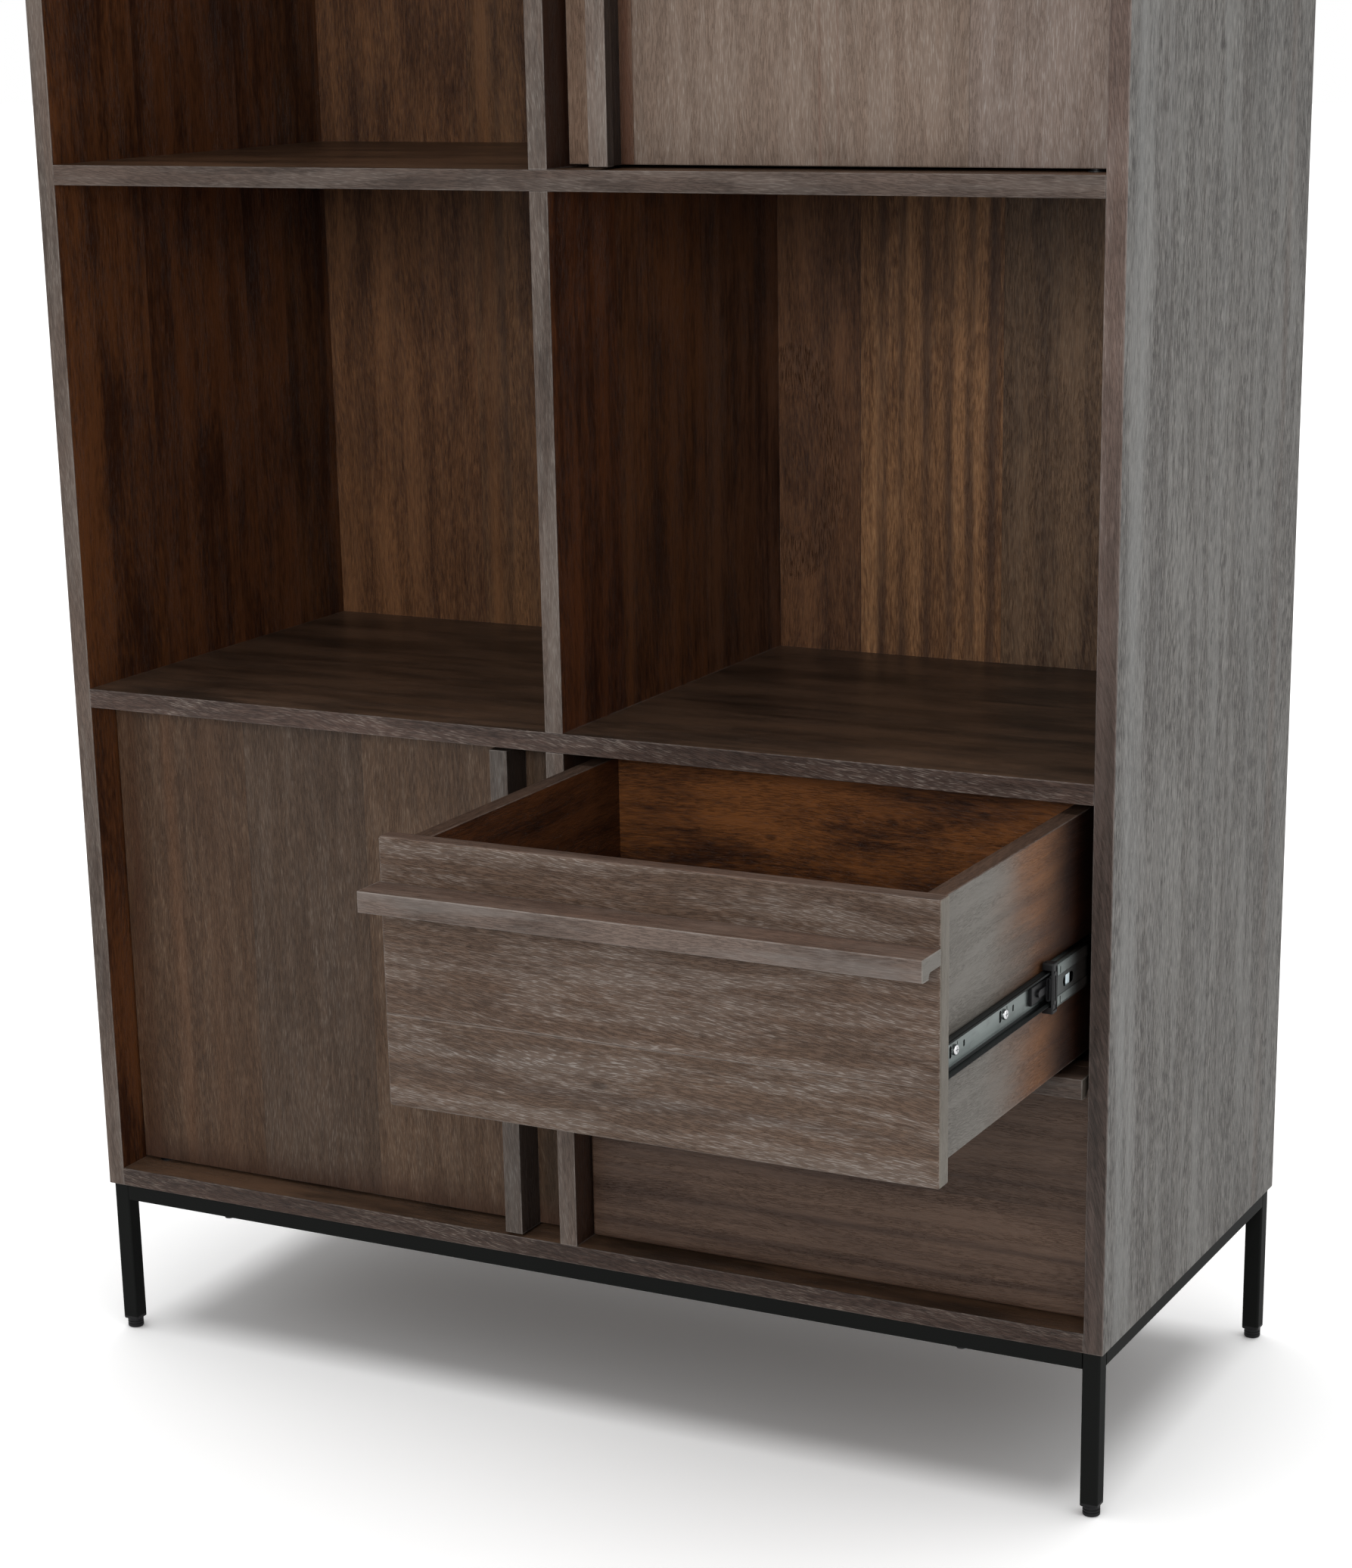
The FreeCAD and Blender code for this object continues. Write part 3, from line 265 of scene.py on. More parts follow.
# Colour of the painted shade at the lower door's foot
LOW_DOOR_EDGE = Stock((0.024, 0.009, 0.005), (0.075, 0.036, 0.022), dark_pores=0.2, speckle=0.2)
RECESS = Stock((0.04, 0.022, 0.013), (0.09, 0.055, 0.036), dark_pores=0.3, speckle=0.4)
# Colour of the painted shade low on the right side panel's front edge
LOW_EDGE = Stock((0.024, 0.016, 0.012), (0.086, 0.058, 0.048), washed=0.1, wash=(0.09, 0.075, 0.066),
                 pale=(0.13, 0.11, 0.1), pale_pores=0.2, dark_pores=0.3, lean=0.3, speckle=0.5)
SHADED = Stock((0.014, 0.009, 0.007), (0.045, 0.03, 0.023), dark_pores=0.3)
BACK = Stock((0.04, 0.015, 0.0055), (0.185, 0.093, 0.043), pale=(0.26, 0.17, 0.095), pale_pores=0.3,
             dark_pores=0.4, bands=0.4, streaks=0.24, blotches=0.6, speckle=0.42)
WALL = Stock((0.03, 0.0095, 0.0035), (0.135, 0.051, 0.018), dark_pores=0.3, bands=0.55, streaks=0.3, blotches=0.9,
             speckle=0.6, roughness=0.45)
FLOOR = Stock((0.02, 0.0125, 0.008), (0.1, 0.057, 0.034), dark_pores=0.3, bands=0.3, streaks=0.2, blotches=1.1,
              speckle=0.2, roughness=0.34)
DRAWER_BOX = Stock((0.024, 0.0075, 0.0025), (0.16, 0.058, 0.015), dark_pores=0.4, blotches=1.2, speckle=0.42,
                   roughness=0.4)
DRAWER_TOP = Stock((0.028, 0.015, 0.009), (0.075, 0.042, 0.027), dark_pores=0.3, blotches=0.6, speckle=0.5)
DRAWER_BARE = Stock((0.055, 0.019, 0.006), (0.18, 0.071, 0.021), blotches=0.6, speckle=0.2, dark_pores=0.1)
# Grey veil that stands for painted sheen, on faces turned to the right
SHEEN_GREY = Stock((0.1, 0.088, 0.073), (0.175, 0.161, 0.142), washed=0.3, wash=(0.185, 0.175, 0.157),
                    dark_pores=0.1, bands=0.2, blotches=0.4, speckle=0.12)


class Grain:
    """Places on a board: along its grain, across its face and through it, in metres.

    way names the axes in that order, and joints are the places across where one board of a panel meets the next.
    """

    def __init__(self, finish, way, seed, joints=()):
        self.finish = finish
        self.axes = dict(zip("xyz", finish.place()))
        self.face_along, self.face_across, self.face_through = (self.axes[axis] for axis in way)
        board = 0.0
        for joint in joints:
            board = (self.face_across > joint) + board
        self.along = self.face_along + board * BOARD_STEP[0] + seed * SEED_STEP[0]
        self.across = self.face_across + board * BOARD_STEP[1] + seed * SEED_STEP[1]
        self.through = self.face_through + seed * SEED_STEP[2]
        self.drift = (self.figure(WANDER, self.across) - 0.5) * DRIFT

    def figure(self, repeats, across, detail=2.0, roughness=0.5):
        """Noise drawn out along the grain, read at a place across that may bend or lean."""
        along, over, through = repeats
        return self.finish.noise(self.along * along, across * over, self.through * through, detail, roughness)


def distance(finish, along, across):
    """How far a place on a board is from a spot, less along the grain, where figure is drawn out."""
    return finish.node("ShaderNodeVectorMath", {"operation": "LENGTH"}, {
        0: finish.vector(along * KNOT_STRETCH, across, 0.0)}, output=1)


def wood_colour(finish, grain, stock, knots=(), whorl=None):
    """Colour, height and roughness of a stock on a board's grain.

    knots lists (along, across, radius), and a whorl is one such place where the figure turns into rings.
    """
    bent = grain.across + grain.drift
    knot = 0.0
    for spot_along, spot_across, size in knots:
        far = distance(finish, grain.face_along - spot_along, grain.face_across - spot_across)
        bent = bent + finish.fade(far, size * KNOT_REACH, 0.0) * size * KNOT_PULL
        knot = finish.fade(far, size * KNOT_CORE[0], size * KNOT_CORE[1]) + knot
    if whorl:
        spot_along, spot_across, size = whorl
        far = distance(finish, grain.face_along - spot_along, grain.face_across - spot_across)
        bent = bent + (far + grain.drift * 0.5 - bent) * finish.fade(far, size, size * 0.6)
    bands = grain.figure(BANDS, bent, detail=2.0, roughness=0.55)
    streaks = grain.figure(STREAKS, bent, detail=3.0, roughness=0.65)
    blotches = grain.figure(BLOTCHES, grain.across, detail=4.0, roughness=0.6)
    wander = (grain.figure(LEAN_WANDER, grain.across) - 0.5) * LEAN_DRIFT
    lean = grain.across + grain.along * stock.lean + wander
    pores = grain.figure(PORES, lean, detail=1.0)
    mottle = grain.figure(MOTTLE, lean, detail=2.0, roughness=0.6)
    patches = grain.figure(PATCHES, bent, detail=4.0, roughness=0.7)
    tone = (bands - 0.5) * (stock.bands * BAND_GAIN) + (streaks - 0.5) * (stock.streaks * STREAK_GAIN) + (
        blotches - 0.5) * (stock.blotches * BLOTCH_GAIN) + (mottle - 0.5) * (stock.speckle * SPECKLE_GAIN) + 0.5
    colour = finish.blend(finish.fade(tone, 0.0, 1.0), stock.dark, stock.light)
    if stock.washed:
        film = finish.fade(patches, *WASHED_PATCHES) * stock.washed
        colour = finish.blend(film, colour, stock.wash)
    height = streaks * STREAK_HEIGHT
    if stock.dark_pores:
        dark = finish.fade(pores, *DARK_PORES) * finish.fade(patches, *DARK_PATCHES)
        colour = finish.blend(dark * stock.dark_pores, colour, tuple(PORE_SHADE * part for part in stock.dark))
        height = height - dark * PORE_DEPTH
    if stock.pale_pores:
        pale = finish.fade(pores, *PALE_PORES) * finish.fade(patches, *PALE_PATCHES)
        colour = finish.blend(pale * stock.pale_pores, colour, stock.pale)
    if knots:
        colour = finish.blend(knot * KNOT_STRENGTH, colour, tuple(KNOT_SHADE * part for part in stock.dark))
    rough = (streaks - 0.5) * SHEEN_SPREAD + stock.roughness
    return colour, height, rough


def near_edges(finish, place, low, high):
    """1 along the edges of a box, where a painted highlight goes, broken up by noise.

    A place is near an edge where it is near two of the box's three pairs of faces.
    """
    inset = [abs(value - (start + end) / 2) - (end - start) / 2 for value, start, end in zip(place, low, high)]
    first, second, third = inset
    middle = first.maths("MAXIMUM", first.maths("MINIMUM", first, second),
                         first.maths("MINIMUM", first.maths("MAXIMUM", first, second), third))
    highlight_breaks = finish.even_noise(place, 60.0)
    return finish.fade(middle, -EDGE, -EDGE * 0.2) * finish.fade(highlight_breaks, *EDGE_HIGHLIGHT_BREAKS)


def add_stripes(finish, grain, colour, stripes):
    """Single streaks in a board: each has its place across, half width, colour and strength."""
    for index, (spot, width, stripe_colour, strength) in enumerate(stripes):
        off = abs(grain.face_across + grain.drift * 0.3 - spot)
        hold = finish.noise(grain.along * 4.0 + index * 7.3, grain.across * 60.0, 0.0, detail=3.0)
        line = finish.fade(off, width, width * 0.15) * finish.fade(hold, *STRIPE_HOLDS)
        colour = finish.blend(line * strength, colour, stripe_colour)
    return colour


def past(axis, limit, side):
    """Mask of the faces past a limit on one axis, towards its side, which is 1 or -1."""
    return lambda finish, axes: finish.fade(axes[axis] * side, limit * side, limit * side + SOFT)


def dress_wood(node, stock, way, seed, joints=(), tones=(), inside=(), faces=(), stripes=(), knots=(), whorl=None,
               rim=0.0):
    """Wood finish for a node, which may be a panel of boards side by side.

    tones tints the boards one by one. inside lists (stock, mask) of faces on the same grain, and faces lists
    (stock, mask, way, tint) of those on their own. rim is how strong the painted highlight along the edges is.
    """
    finish = new_finish(node + "_wood")
    grain = Grain(finish, way, seed, joints)
    colour, height, rough = wood_colour(finish, grain, stock, knots, whorl)
    colour = add_stripes(finish, grain, colour, stripes)

    def cover(mask, over):
        over_colour, over_height, over_rough = over
        return (finish.blend(mask, colour, over_colour), height + (over_height - height) * mask,
                rough + (over_rough - rough) * mask)

    for second, mask_of in inside:
        colour, height, rough = cover(mask_of(finish, grain.axes), wood_colour(finish, grain, second))
    if tones:
        tint = tones[0]
        for joint, after in zip(joints, tones[1:]):
            tint = finish.blend(grain.face_across > joint, tint, after)
        colour = finish.blend(1.0, colour, tint, "MULTIPLY")
    for joint in joints:
        line = finish.fade(abs(grain.face_across - joint), *GLUE_LINE)
        colour = finish.blend(line * GLUE_STRENGTH, colour, GLUE)
    for index, (edge_stock, mask_of, edge_way, edge_tint) in enumerate(faces):
        edge_grain = Grain(finish, edge_way, seed + 0.5 + index)
        edge_colour, edge_height, edge_rough = wood_colour(finish, edge_grain, edge_stock)
        edge_colour = finish.blend(1.0, edge_colour, edge_tint, "MULTIPLY")
        colour, height, rough = cover(mask_of(finish, grain.axes), (edge_colour, edge_height, edge_rough))
    # Painted highlight along the box's edges.
    if rim:
        low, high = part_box(node)
        highlit = near_edges(finish, [grain.axes[axis] for axis in "xyz"], low, high)
        colour = finish.blend(highlit * rim, colour, EDGE_HIGHLIGHT)
    put_on(node, finish.surface(colour, rough, height, depth=GRAIN_DEPTH, specular=0.3))


def put_on(node, material):
    slots = NODES[node].data.materials
    slots.clear()
    slots.append(material)


PLAIN = (1.0, 1.0, 1.0)
DARK_STREAK = (0.026, 0.012, 0.007)
SKIN = 0.016                         # depth of the outer finish on the side panels, which are 17 mm thick
SHEEN_ENDS = (0.122, 0.25)            # where the painted sheen on a drawer's sides thins out, behind its front
CASE_SHADE_FROM = (0.212, 0.286)         # where painted shade darkens them towards the case
SLIDE_STRIP = (0.0125, 0.012)        # half height of the painted shade behind a slide, from its soft edge in
RECESS_DEPTHS = (0.06, 0.03)         # where a wall's front strip ends, behind the case's front, from its soft edge in
LOW_EDGE_HEIGHTS = (1.12, 0.72)      # where painted shade on the right side panel's front edge begins, and is full
BACK_KNOTS = ((0.2924, 0.1684), (0.3332, 0.1691), (0.3733, 0.1824), (0.1809, 0.1448))     # x, height on the back
BACK_KNOT_SIZE = 0.0045
CASE_FRONT = past("y", FRONT_Y + EDGE, -1)


def door_recess(finish, axes):
    """Front strip of a wall, where a door or drawer stands back from the case's edges."""
    soft, full = RECESS_DEPTHS
    return finish.fade(axes["y"], FRONT_Y + soft, FRONT_Y + full)


def low_recess(finish, axes):
    """The same strip on the inner face of the left side panel, in the lowest row alone."""
    row = finish.fade(axes["z"], LOW_ROW_TOP + 0.002, LOW_ROW_TOP - 0.002)
    inner = finish.fade(axes["x"], FACE - OUTER_X + SKIN, FACE + SOFT - OUTER_X + SKIN)
    return door_recess(finish, axes) * row * inner


def low_front_shade(finish, axes):
    """Front edge of the right side panel, with painted shade that darkens it from its middle down."""
    uneven = finish.noise(axes["z"] * 7.0, axes["x"] * 60.0, 0.0, detail=3.0) * 0.3 + axes["z"]
    return CASE_FRONT(finish, axes) * finish.fade(uneven, *LOW_EDGE_HEIGHTS)


def dress_case():
    cool = (0.21, 0.212, 0.204)
    brown = (0.06, 0.048, 0.04)
    rust = (0.09, 0.06, 0.046)
    dress_wood("side_panel_right", OUTSIDE, "zyx", 1.0, joints=(0.045, 0.21),
               tones=((1.06, 1.05, 1.05), (1.04, 1.03, 1.02), (0.97, 0.96, 0.95)), rim=0.3,
               inside=((WALL, past("x", OUTER_X - SKIN, -1)),),
               faces=((EDGES, CASE_FRONT, "zxy", (1.22, 1.1, 1.1)), (LOW_EDGE, low_front_shade, "zxy", PLAIN)),
               stripes=((-0.022, 0.03, cool, 0.6), (0.02, 0.01, brown, 0.22), (0.042, 0.007, brown, 0.2),
                        (0.112, 0.016, brown, 0.16), (0.165, 0.018, cool, 0.2), (0.215, 0.015, brown, 0.2),
                        (0.27, 0.012, cool, 0.18), (0.334, 0.013, rust, 0.3)))
    dress_wood("side_panel_left", OUTSIDE, "zyx", 2.0, joints=(0.066, 0.223, 0.288),
               tones=((1.0, 0.9, 0.8), (0.9, 0.8, 0.75), (1.0, 0.92, 0.9), (0.9, 0.88, 0.85)), rim=0.3,
               inside=((WALL, past("x", SKIN - OUTER_X, 1)),),
               faces=((RECESS, low_recess, "zyx", PLAIN), (EDGES, CASE_FRONT, "zxy", (1.08, 1.05, 1.03)),))
    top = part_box("top_panel")[1].z
    dress_wood("top_panel", OUTSIDE, "xyz", 3.0, joints=(0.08, 0.23), rim=0.3,
               inside=((FLOOR, past("z", top - FACE, -1)),), faces=((EDGES, CASE_FRONT, "xzy", PLAIN),))
    edge_tints = ((0.72, 0.66, 0.62), (0.95, 0.9, 0.88), (0.88, 0.82, 0.8))
    floor_tints = ((1.15, 1.12, 1.1), (1.13, 1.14, 1.18), (1.56, 1.44, 1.34))
    for index, shelf in enumerate(("bottom_panel", "shelf_lower", "shelf_upper")):
        dress_wood(shelf, FLOOR, "xyz", 4.0 + index, joints=(0.05 + 0.03 * index, 0.2), rim=0.2,
                   tones=(floor_tints[index],) * 3,
                   faces=((EDGES if index == 2 else SHELF_EDGE, CASE_FRONT, "xzy", edge_tints[index]),))
    recess_tints = ((0.5, 0.38, 0.34), None, (0.55, 0.36, 0.3))
    for index, divider in enumerate(("divider_bottom", "divider_middle", "divider_top")):
        recess = () if divider == "divider_middle" else ((RECESS, door_recess, "zyx", recess_tints[index]),)
        dress_wood(divider, WALL, "zyx", 8.0 + index, joints=(0.054, 0.2114, 0.3145), rim=0.3,
                   tones=((0.85, 0.7, 0.65), (0.95, 0.9, 0.9), (0.98, 1.05, 1.3), (1.15, 1.3, 1.8)),
                   faces=recess + ((EDGES, CASE_FRONT, "zxy", (1.08, 1.08, 1.08)),))
    stripes = [(place, 0.008, DARK_STREAK, 0.75) for place in (0.112, 0.133, 0.157, 0.178, 0.2, 0.222)]
    stripes += [(-0.3, 0.012, (0.2, 0.09, 0.035), 0.5), (-0.285, 0.006, DARK_STREAK, 0.5)]
    dress_wood("back_panel", BACK, "zxy", 11.0, joints=(-0.3153, -0.1893, -0.0488, 0.0917, 0.2322, 0.3727),
               tones=((0.9, 0.76, 0.62), (0.86, 0.78, 0.66), (0.85, 0.85, 0.8), (0.75, 0.62, 0.52),
                      (1.62, 1.56, 1.4), (0.85, 0.96, 1.1), (0.8, 0.8, 0.8)),
               whorl=(0.8, 0.025, 0.05), stripes=stripes)


def dress_doors():
    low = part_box("lower_door_panel")[0].z

    def shaded_foot(finish, axes):
        """Painted shade at the foot of the lower door, with an uneven edge."""
        uneven = finish.noise(axes["x"] * 12.0, axes["z"] * 5.0, 0.0, detail=3.0) * 0.03 + axes["z"]
        return finish.fade(uneven, low + 0.05, low + 0.012) * 0.7

    dress_wood("lower_door_panel", DOOR, "zxy", 13.0, joints=(-0.34, -0.2146), rim=0.25,
               tones=((1.02, 0.91, 0.78), (0.95, 0.97, 1.0), (1.15, 1.1, 1.02)),
               faces=((LOW_DOOR_EDGE, shaded_foot, "zxy", PLAIN),),
               # The first stripe is painted shade beside the left wall, and the last is painted shade between the
               # handle and the divider.
               stripes=((-0.47, 0.014, (0.05, 0.018, 0.008), 0.6), (-0.425, 0.012, (0.115, 0.058, 0.03), 0.4),
                        (-0.38, 0.02, (0.1, 0.054, 0.03), 0.25), (-0.028, 0.026, (0.028, 0.018, 0.011), 0.7)))
    dress_wood("upper_door_panel", PALE_DOOR, "zxy", 15.0, joints=(0.071, 0.36), rim=0.25,
               tones=((0.98, 0.86, 0.76), (1.05, 1.05, 1.05), (1.08, 1.13, 1.22)),
               # The first stripe, beside the handle, is painted shadow of the handle, with some stain.
               stripes=((0.064, 0.014, (0.07, 0.028, 0.014), 0.85), (0.235, 0.002, (0.12, 0.062, 0.042), 0.5),
                        (0.251, 0.002, (0.12, 0.062, 0.042), 0.4), (0.415, 0.003, (0.12, 0.085, 0.066), 0.3)))
    for index, (door, tint) in enumerate((("lower_door", (0.76, 0.8, 0.82)), ("upper_door", (1.3, 1.3, 1.3)))):
        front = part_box(door + "_handle")[0].y
        dress_wood(door + "_handle", SHADED, "zyx", 14.0 + 2 * index, rim=0.3,
                   faces=((EDGES, past("y", front + EDGE, -1), "zxy", tint),))


def dress_drawers():
    for index, drawer in enumerate(("upper_drawer", "lower_drawer")):
        seed = 18.0 + index * 7
        tints = (PLAIN, PLAIN) if index == 0 else ((0.62, 0.6, 0.58), (0.4, 0.36, 0.33))
        dress_bar(drawer + "_handle", seed + 1, *tints)
        for offset, part in enumerate(("side_left", "side_right")):
            dress_drawer_side(drawer + "_" + part, seed + 2 + offset)
        dress_wood(drawer + "_bottom", DRAWER_BOX, "yxz", seed + 5)
        low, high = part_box(drawer + "_back")
        dress_wood(drawer + "_back", DRAWER_BOX, "xzy", seed + 4, tones=((1.05, 1.0, 0.95),),
                   faces=((DRAWER_TOP, past("z", high.z - FACE, 1), "xyz", PLAIN),),
                   knots=[(x, low.z + height, BACK_KNOT_SIZE) for x, height in BACK_KNOTS])
    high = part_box("upper_drawer_front")[1]
    # The front's right end is pale with painted sheen.
    end_grain = (SHEEN_GREY, past("x", high.x - FACE, 1), "zyx", (1.0, 0.97, 0.92))
    top_edge = (BAR_TOP, past("z", high.z - FACE, 1), "xyz", (0.84, 0.82, 0.8))
    dress_wood("upper_drawer_front", DRAWER_FRONT, "xzy", 18.0, joints=(0.4645,), tones=(PLAIN, (0.98, 0.95, 0.93)),
               rim=0.5, faces=(end_grain, top_edge), knots=((0.2, 0.43, 0.006),),
               # The first stripe, a pale line on the joint, is a painted highlight on the upper board's rounded edge.
               stripes=((0.4645, 0.0008, (0.26, 0.23, 0.21), 0.6), (0.42, 0.008, DARK_STREAK, 0.3),
                        (0.56, 0.006, (0.05, 0.022, 0.013), 0.4)))
    dress_wood("lower_drawer_front", LOW_FRONT, "xzy", 25.0, joints=(0.26,), rim=0.2, tones=(PLAIN, (1.0, 1.02, 1.02)),
               stripes=((0.188, 0.005, DARK_STREAK, 0.6), (0.217, 0.004, DARK_STREAK, 0.6),
                        (0.275, 0.006, DARK_STREAK, 0.5)))


def dress_bar(node, seed, front_tint, end_tint):
    """Pull bar: washed in front, browner on top with painted shade, pale at its ends with painted sheen, and dark with
    painted shade in its groove.
    """
    low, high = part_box(node)
    dress_wood(node, SHADED, "xyz", seed, rim=0.35,
               faces=((BAR_TOP, past("z", high.z - FACE, 1), "xyz", PLAIN),
                      (BAR, past("y", low.y + EDGE, -1), "xzy", front_tint),
                      (SHEEN_GREY, past("x", high.x - FACE, 1), "yzx", end_tint)))


def dress_drawer_side(node, seed):
    """Stained inside, and outside under painted sheen, a grey veil that thins out towards the back, then painted shade
    towards the case.
    """
    low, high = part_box(node)
    outer = high.x if node.endswith("right") else low.x
    slide = sum(corner.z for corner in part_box(node.rsplit("_side", 1)[0] + "_slide_members")) / 2

    def on_outer(finish, axes):
        return finish.fade(abs(axes["x"] - outer), FACE + SOFT, FACE)

    def within(finish, axes):
        return finish.fade(abs(axes["x"] - outer), FACE, FACE + SOFT)

    def from_front(finish, axes, ends, slice_at, unevenness):
        """Rises between two distances behind the drawer's front, along an uneven edge."""
        edge = finish.noise(axes["y"] * 9.0, axes["z"] * 14.0, slice_at, detail=3.0) * unevenness + axes["y"]
        return finish.fade(edge, low.y + ends[0], low.y + ends[1])

    # Where the painted sheen has thinned out.
    def past_sheen(finish, axes):
        return on_outer(finish, axes) * from_front(finish, axes, SHEEN_ENDS, 0.0, 0.08)

    # Painted shade towards the case.
    def shade_near_case(finish, axes):
        return from_front(finish, axes, CASE_SHADE_FROM, 3.0, 0.04)

    # Painted shade on the wood behind the slide, seen through its slots.
    def shade_behind_slide(finish, axes):
        return on_outer(finish, axes) * finish.fade(abs(axes["z"] - slide), *SLIDE_STRIP)

    inner_tint = (0.55, 0.5, 0.6) if node.endswith("left") else PLAIN
    dress_wood(node, SHEEN_GREY, "yzx", seed, inside=((DRAWER_BARE, past_sheen),), rim=0.15,
               faces=((DRAWER_BARE, shade_near_case, "yzx", (0.14, 0.1, 0.085)),
                      (SHADED, shade_behind_slide, "yzx", (0.3, 0.3, 0.3)),
                      (DRAWER_BOX, within, "yzx", inner_tint),
                      (DRAWER_TOP, past("z", high.z - FACE, 1), "yxz", PLAIN)))


# --- Metals and plastics ---
FINE_BUMP, METAL_BUMP = 0.0001, 0.00005
RACES = (0.0102, 0.0112)             # how far above and below a slide's middle the grease begins, and is full
PRESSED_BAND = (0.0088, 0.0078)      # half height of the middle channel's pressed band, from its soft edge in


def base_paint():
    finish = new_finish("black_powder_coat")
    place = finish.place()
    orange_peel = finish.even_noise(place, 900.0, detail=1.0)
    drift = finish.even_noise(place, 6.0)
    colour = finish.blend(drift, (0.006, 0.0065, 0.006), (0.009, 0.0095, 0.009))
    return finish.surface(colour, drift * 0.1 + 0.5, orange_peel, depth=FINE_BUMP, specular=0.06)


def slide_zinc(name, races=None, band=None, dark=None):
    """Zinc-plated steel, drawn along Y.

    races is the middle height between two greasy ball races, and band that of a pressed, darker band. dark gives the
    two depths between which painted shade sets in towards the back.
    """
    finish = new_finish(name)
    x, y, z = place = finish.place()
    drawn = finish.noise(x * 700.0, y * 12.0, z * 700.0, detail=2.0)
    drift = finish.even_noise(place, 14.0)
    stains = finish.noise(x * 120.0, y * 60.0, z * 120.0, detail=4.0)
    colour = finish.blend(drift, (0.16, 0.19, 0.185), (0.27, 0.31, 0.3))
    colour = finish.blend(finish.fade(stains, 0.5, 0.75) * 0.35, colour, (0.1, 0.105, 0.1))
    rough = drawn * 0.14 + 0.26
    if races is not None:
        grease = finish.fade(abs(z - races), *RACES)
        colour = finish.blend(grease * 0.94, colour, (0.014, 0.015, 0.015))
        rough = rough + grease * 0.12
    if band is not None:
        pressed = finish.fade(abs(z - band), *PRESSED_BAND)
        colour = finish.blend(pressed * 0.8, colour, (0.03, 0.033, 0.033))
    # Painted shade towards the back.
    if dark is not None:
        colour = finish.blend(finish.fade(y, *dark), colour, (0.006, 0.007, 0.007))
    return finish.surface(colour, rough, drawn, depth=METAL_BUMP, metallic=1.0)


def bright_steel():
    finish = new_finish("bright_screw_steel")
    marks = finish.even_noise(finish.place(), 900.0)
    colour = finish.blend(marks, (0.78, 0.79, 0.8), (0.9, 0.91, 0.92))
    return finish.surface(colour, marks * 0.16 + 0.22, marks, depth=METAL_BUMP, metallic=1.0)


def black_plastic():
    finish = new_finish("moulded_black_plastic")
    place = finish.place()
    grainy = finish.even_noise(place, 1400.0, detail=1.0)
    drift = finish.even_noise(place, 30.0)
    colour = finish.blend(drift, (0.004, 0.004, 0.0045), (0.009, 0.009, 0.01))
    return finish.surface(colour, drift * 0.14 + 0.38, grainy, depth=FINE_BUMP, specular=0.3)


def stop_steel():
    """Bluish bright zinc of the plate behind the middle channel's window."""
    finish = new_finish("bluish_bright_zinc")
    drift = finish.even_noise(finish.place(), 200.0)
    colour = finish.blend(drift, (0.5, 0.62, 0.68), (0.8, 0.88, 0.9))
    return finish.surface(colour, drift * 0.1 + 0.4, drift, depth=METAL_BUMP, metallic=0.6)


def dress_hardware():
    paint, steel, plastic = base_paint(), bright_steel(), black_plastic()
    zinc = slide_zinc("zinc_plated_steel")
    for name in sorted(NODES):
        if name.startswith(("base_rail", "base_leg")):
            put_on(name, paint)
        elif name.endswith(("release_levers", "pivot_pins", "leg_glides", "pivot_bushes", "door_catches",
                            "base_screws")):
            put_on(name, plastic)
        elif name.endswith(("slide_cabinet_members", "strike")):
            put_on(name, zinc)
        elif name.endswith(("slide_cabinet_screws", "back_screws")):
            put_on(name, steel)
    dress_wood("case_dowels", EDGES, "xyz", 40.0)
    make_slides(steel, plastic)


# --- Slides ---
# In millimetres. u goes from the case's wall to the drawer, and z is measured from the slide's middle height.
MM = 0.001
SHEET = 1.2
# (u, z) along the upper half of a channel's bend
DRAWER_BEND = ((12.4, 0), (12.4, 10.2), (11.7, 12.1), (10.4, 13.2), (9.0, 13.0), (7.7, 12.0), (6.1, 12.0), (4.9, 12.8),
               (4.1, 13.3))
MIDDLE_BEND = ((2.8, 0), (2.8, 8.0), (2.3, 8.7), (2.3, 14.9), (2.9, 16.7), (4.2, 17.6), (5.5, 17.2), (6.9, 16.2),
               (8.5, 16.2), (9.8, 17.2), (10.6, 17.6))
DRAWER_RUN = (2, 350)                    # start of the drawer's channel behind the drawer's front, and length
MIDDLE_RUN = (10, 340)                   # start of the middle channel behind its end block's front, and length
MIDDLE_GAP = 1.7                         # u where the middle channel begins
SCREW_DEPTHS = (31.0, 127.0, 319.0)      # behind the drawer's front
SCREW_SEAT = 11.8                        # u of the drawer channel's face
HEAD = 4.2                               # radius
HEAD_HEIGHT = 2.2
HEAD_ROUND = 1.3
CROSS = (2.3, 0.5, 1.3)                  # half length, half width and depth of the recess in a head
SCREW_SLOTS = ((-7.6, 0, 9.5, 4.4), (5.6, 1.2, 8.0, 1.2), (18, 0, 5.4, 3.0))     # y from a screw, z, length, width
LONG_SLOTS = (245, 285)
DRAWER_SHADE_FROM = (0.2, 0.225)               # where painted shade sets in behind the drawer's front, in metres
MIDDLE_SHADE_FROM = (0.012, 0.058)             # and behind the end block's front
SMOOTH_ANGLE = 32                        # degrees


def alone():
    """Leaves nothing selected, so that the next operator acts on its own piece."""
    bpy.ops.object.select_all(action="DESELECT")


def shaped(modifier_type, piece, **settings):
    """Modifier put on a piece and applied."""
    modifier = piece.modifiers.new(modifier_type.lower(), modifier_type)
    for key, value in settings.items():
        setattr(modifier, key, value)
    alone()
    piece.select_set(True)
    bpy.context.view_layer.objects.active = piece
    bpy.ops.object.modifier_apply(modifier=modifier.name)


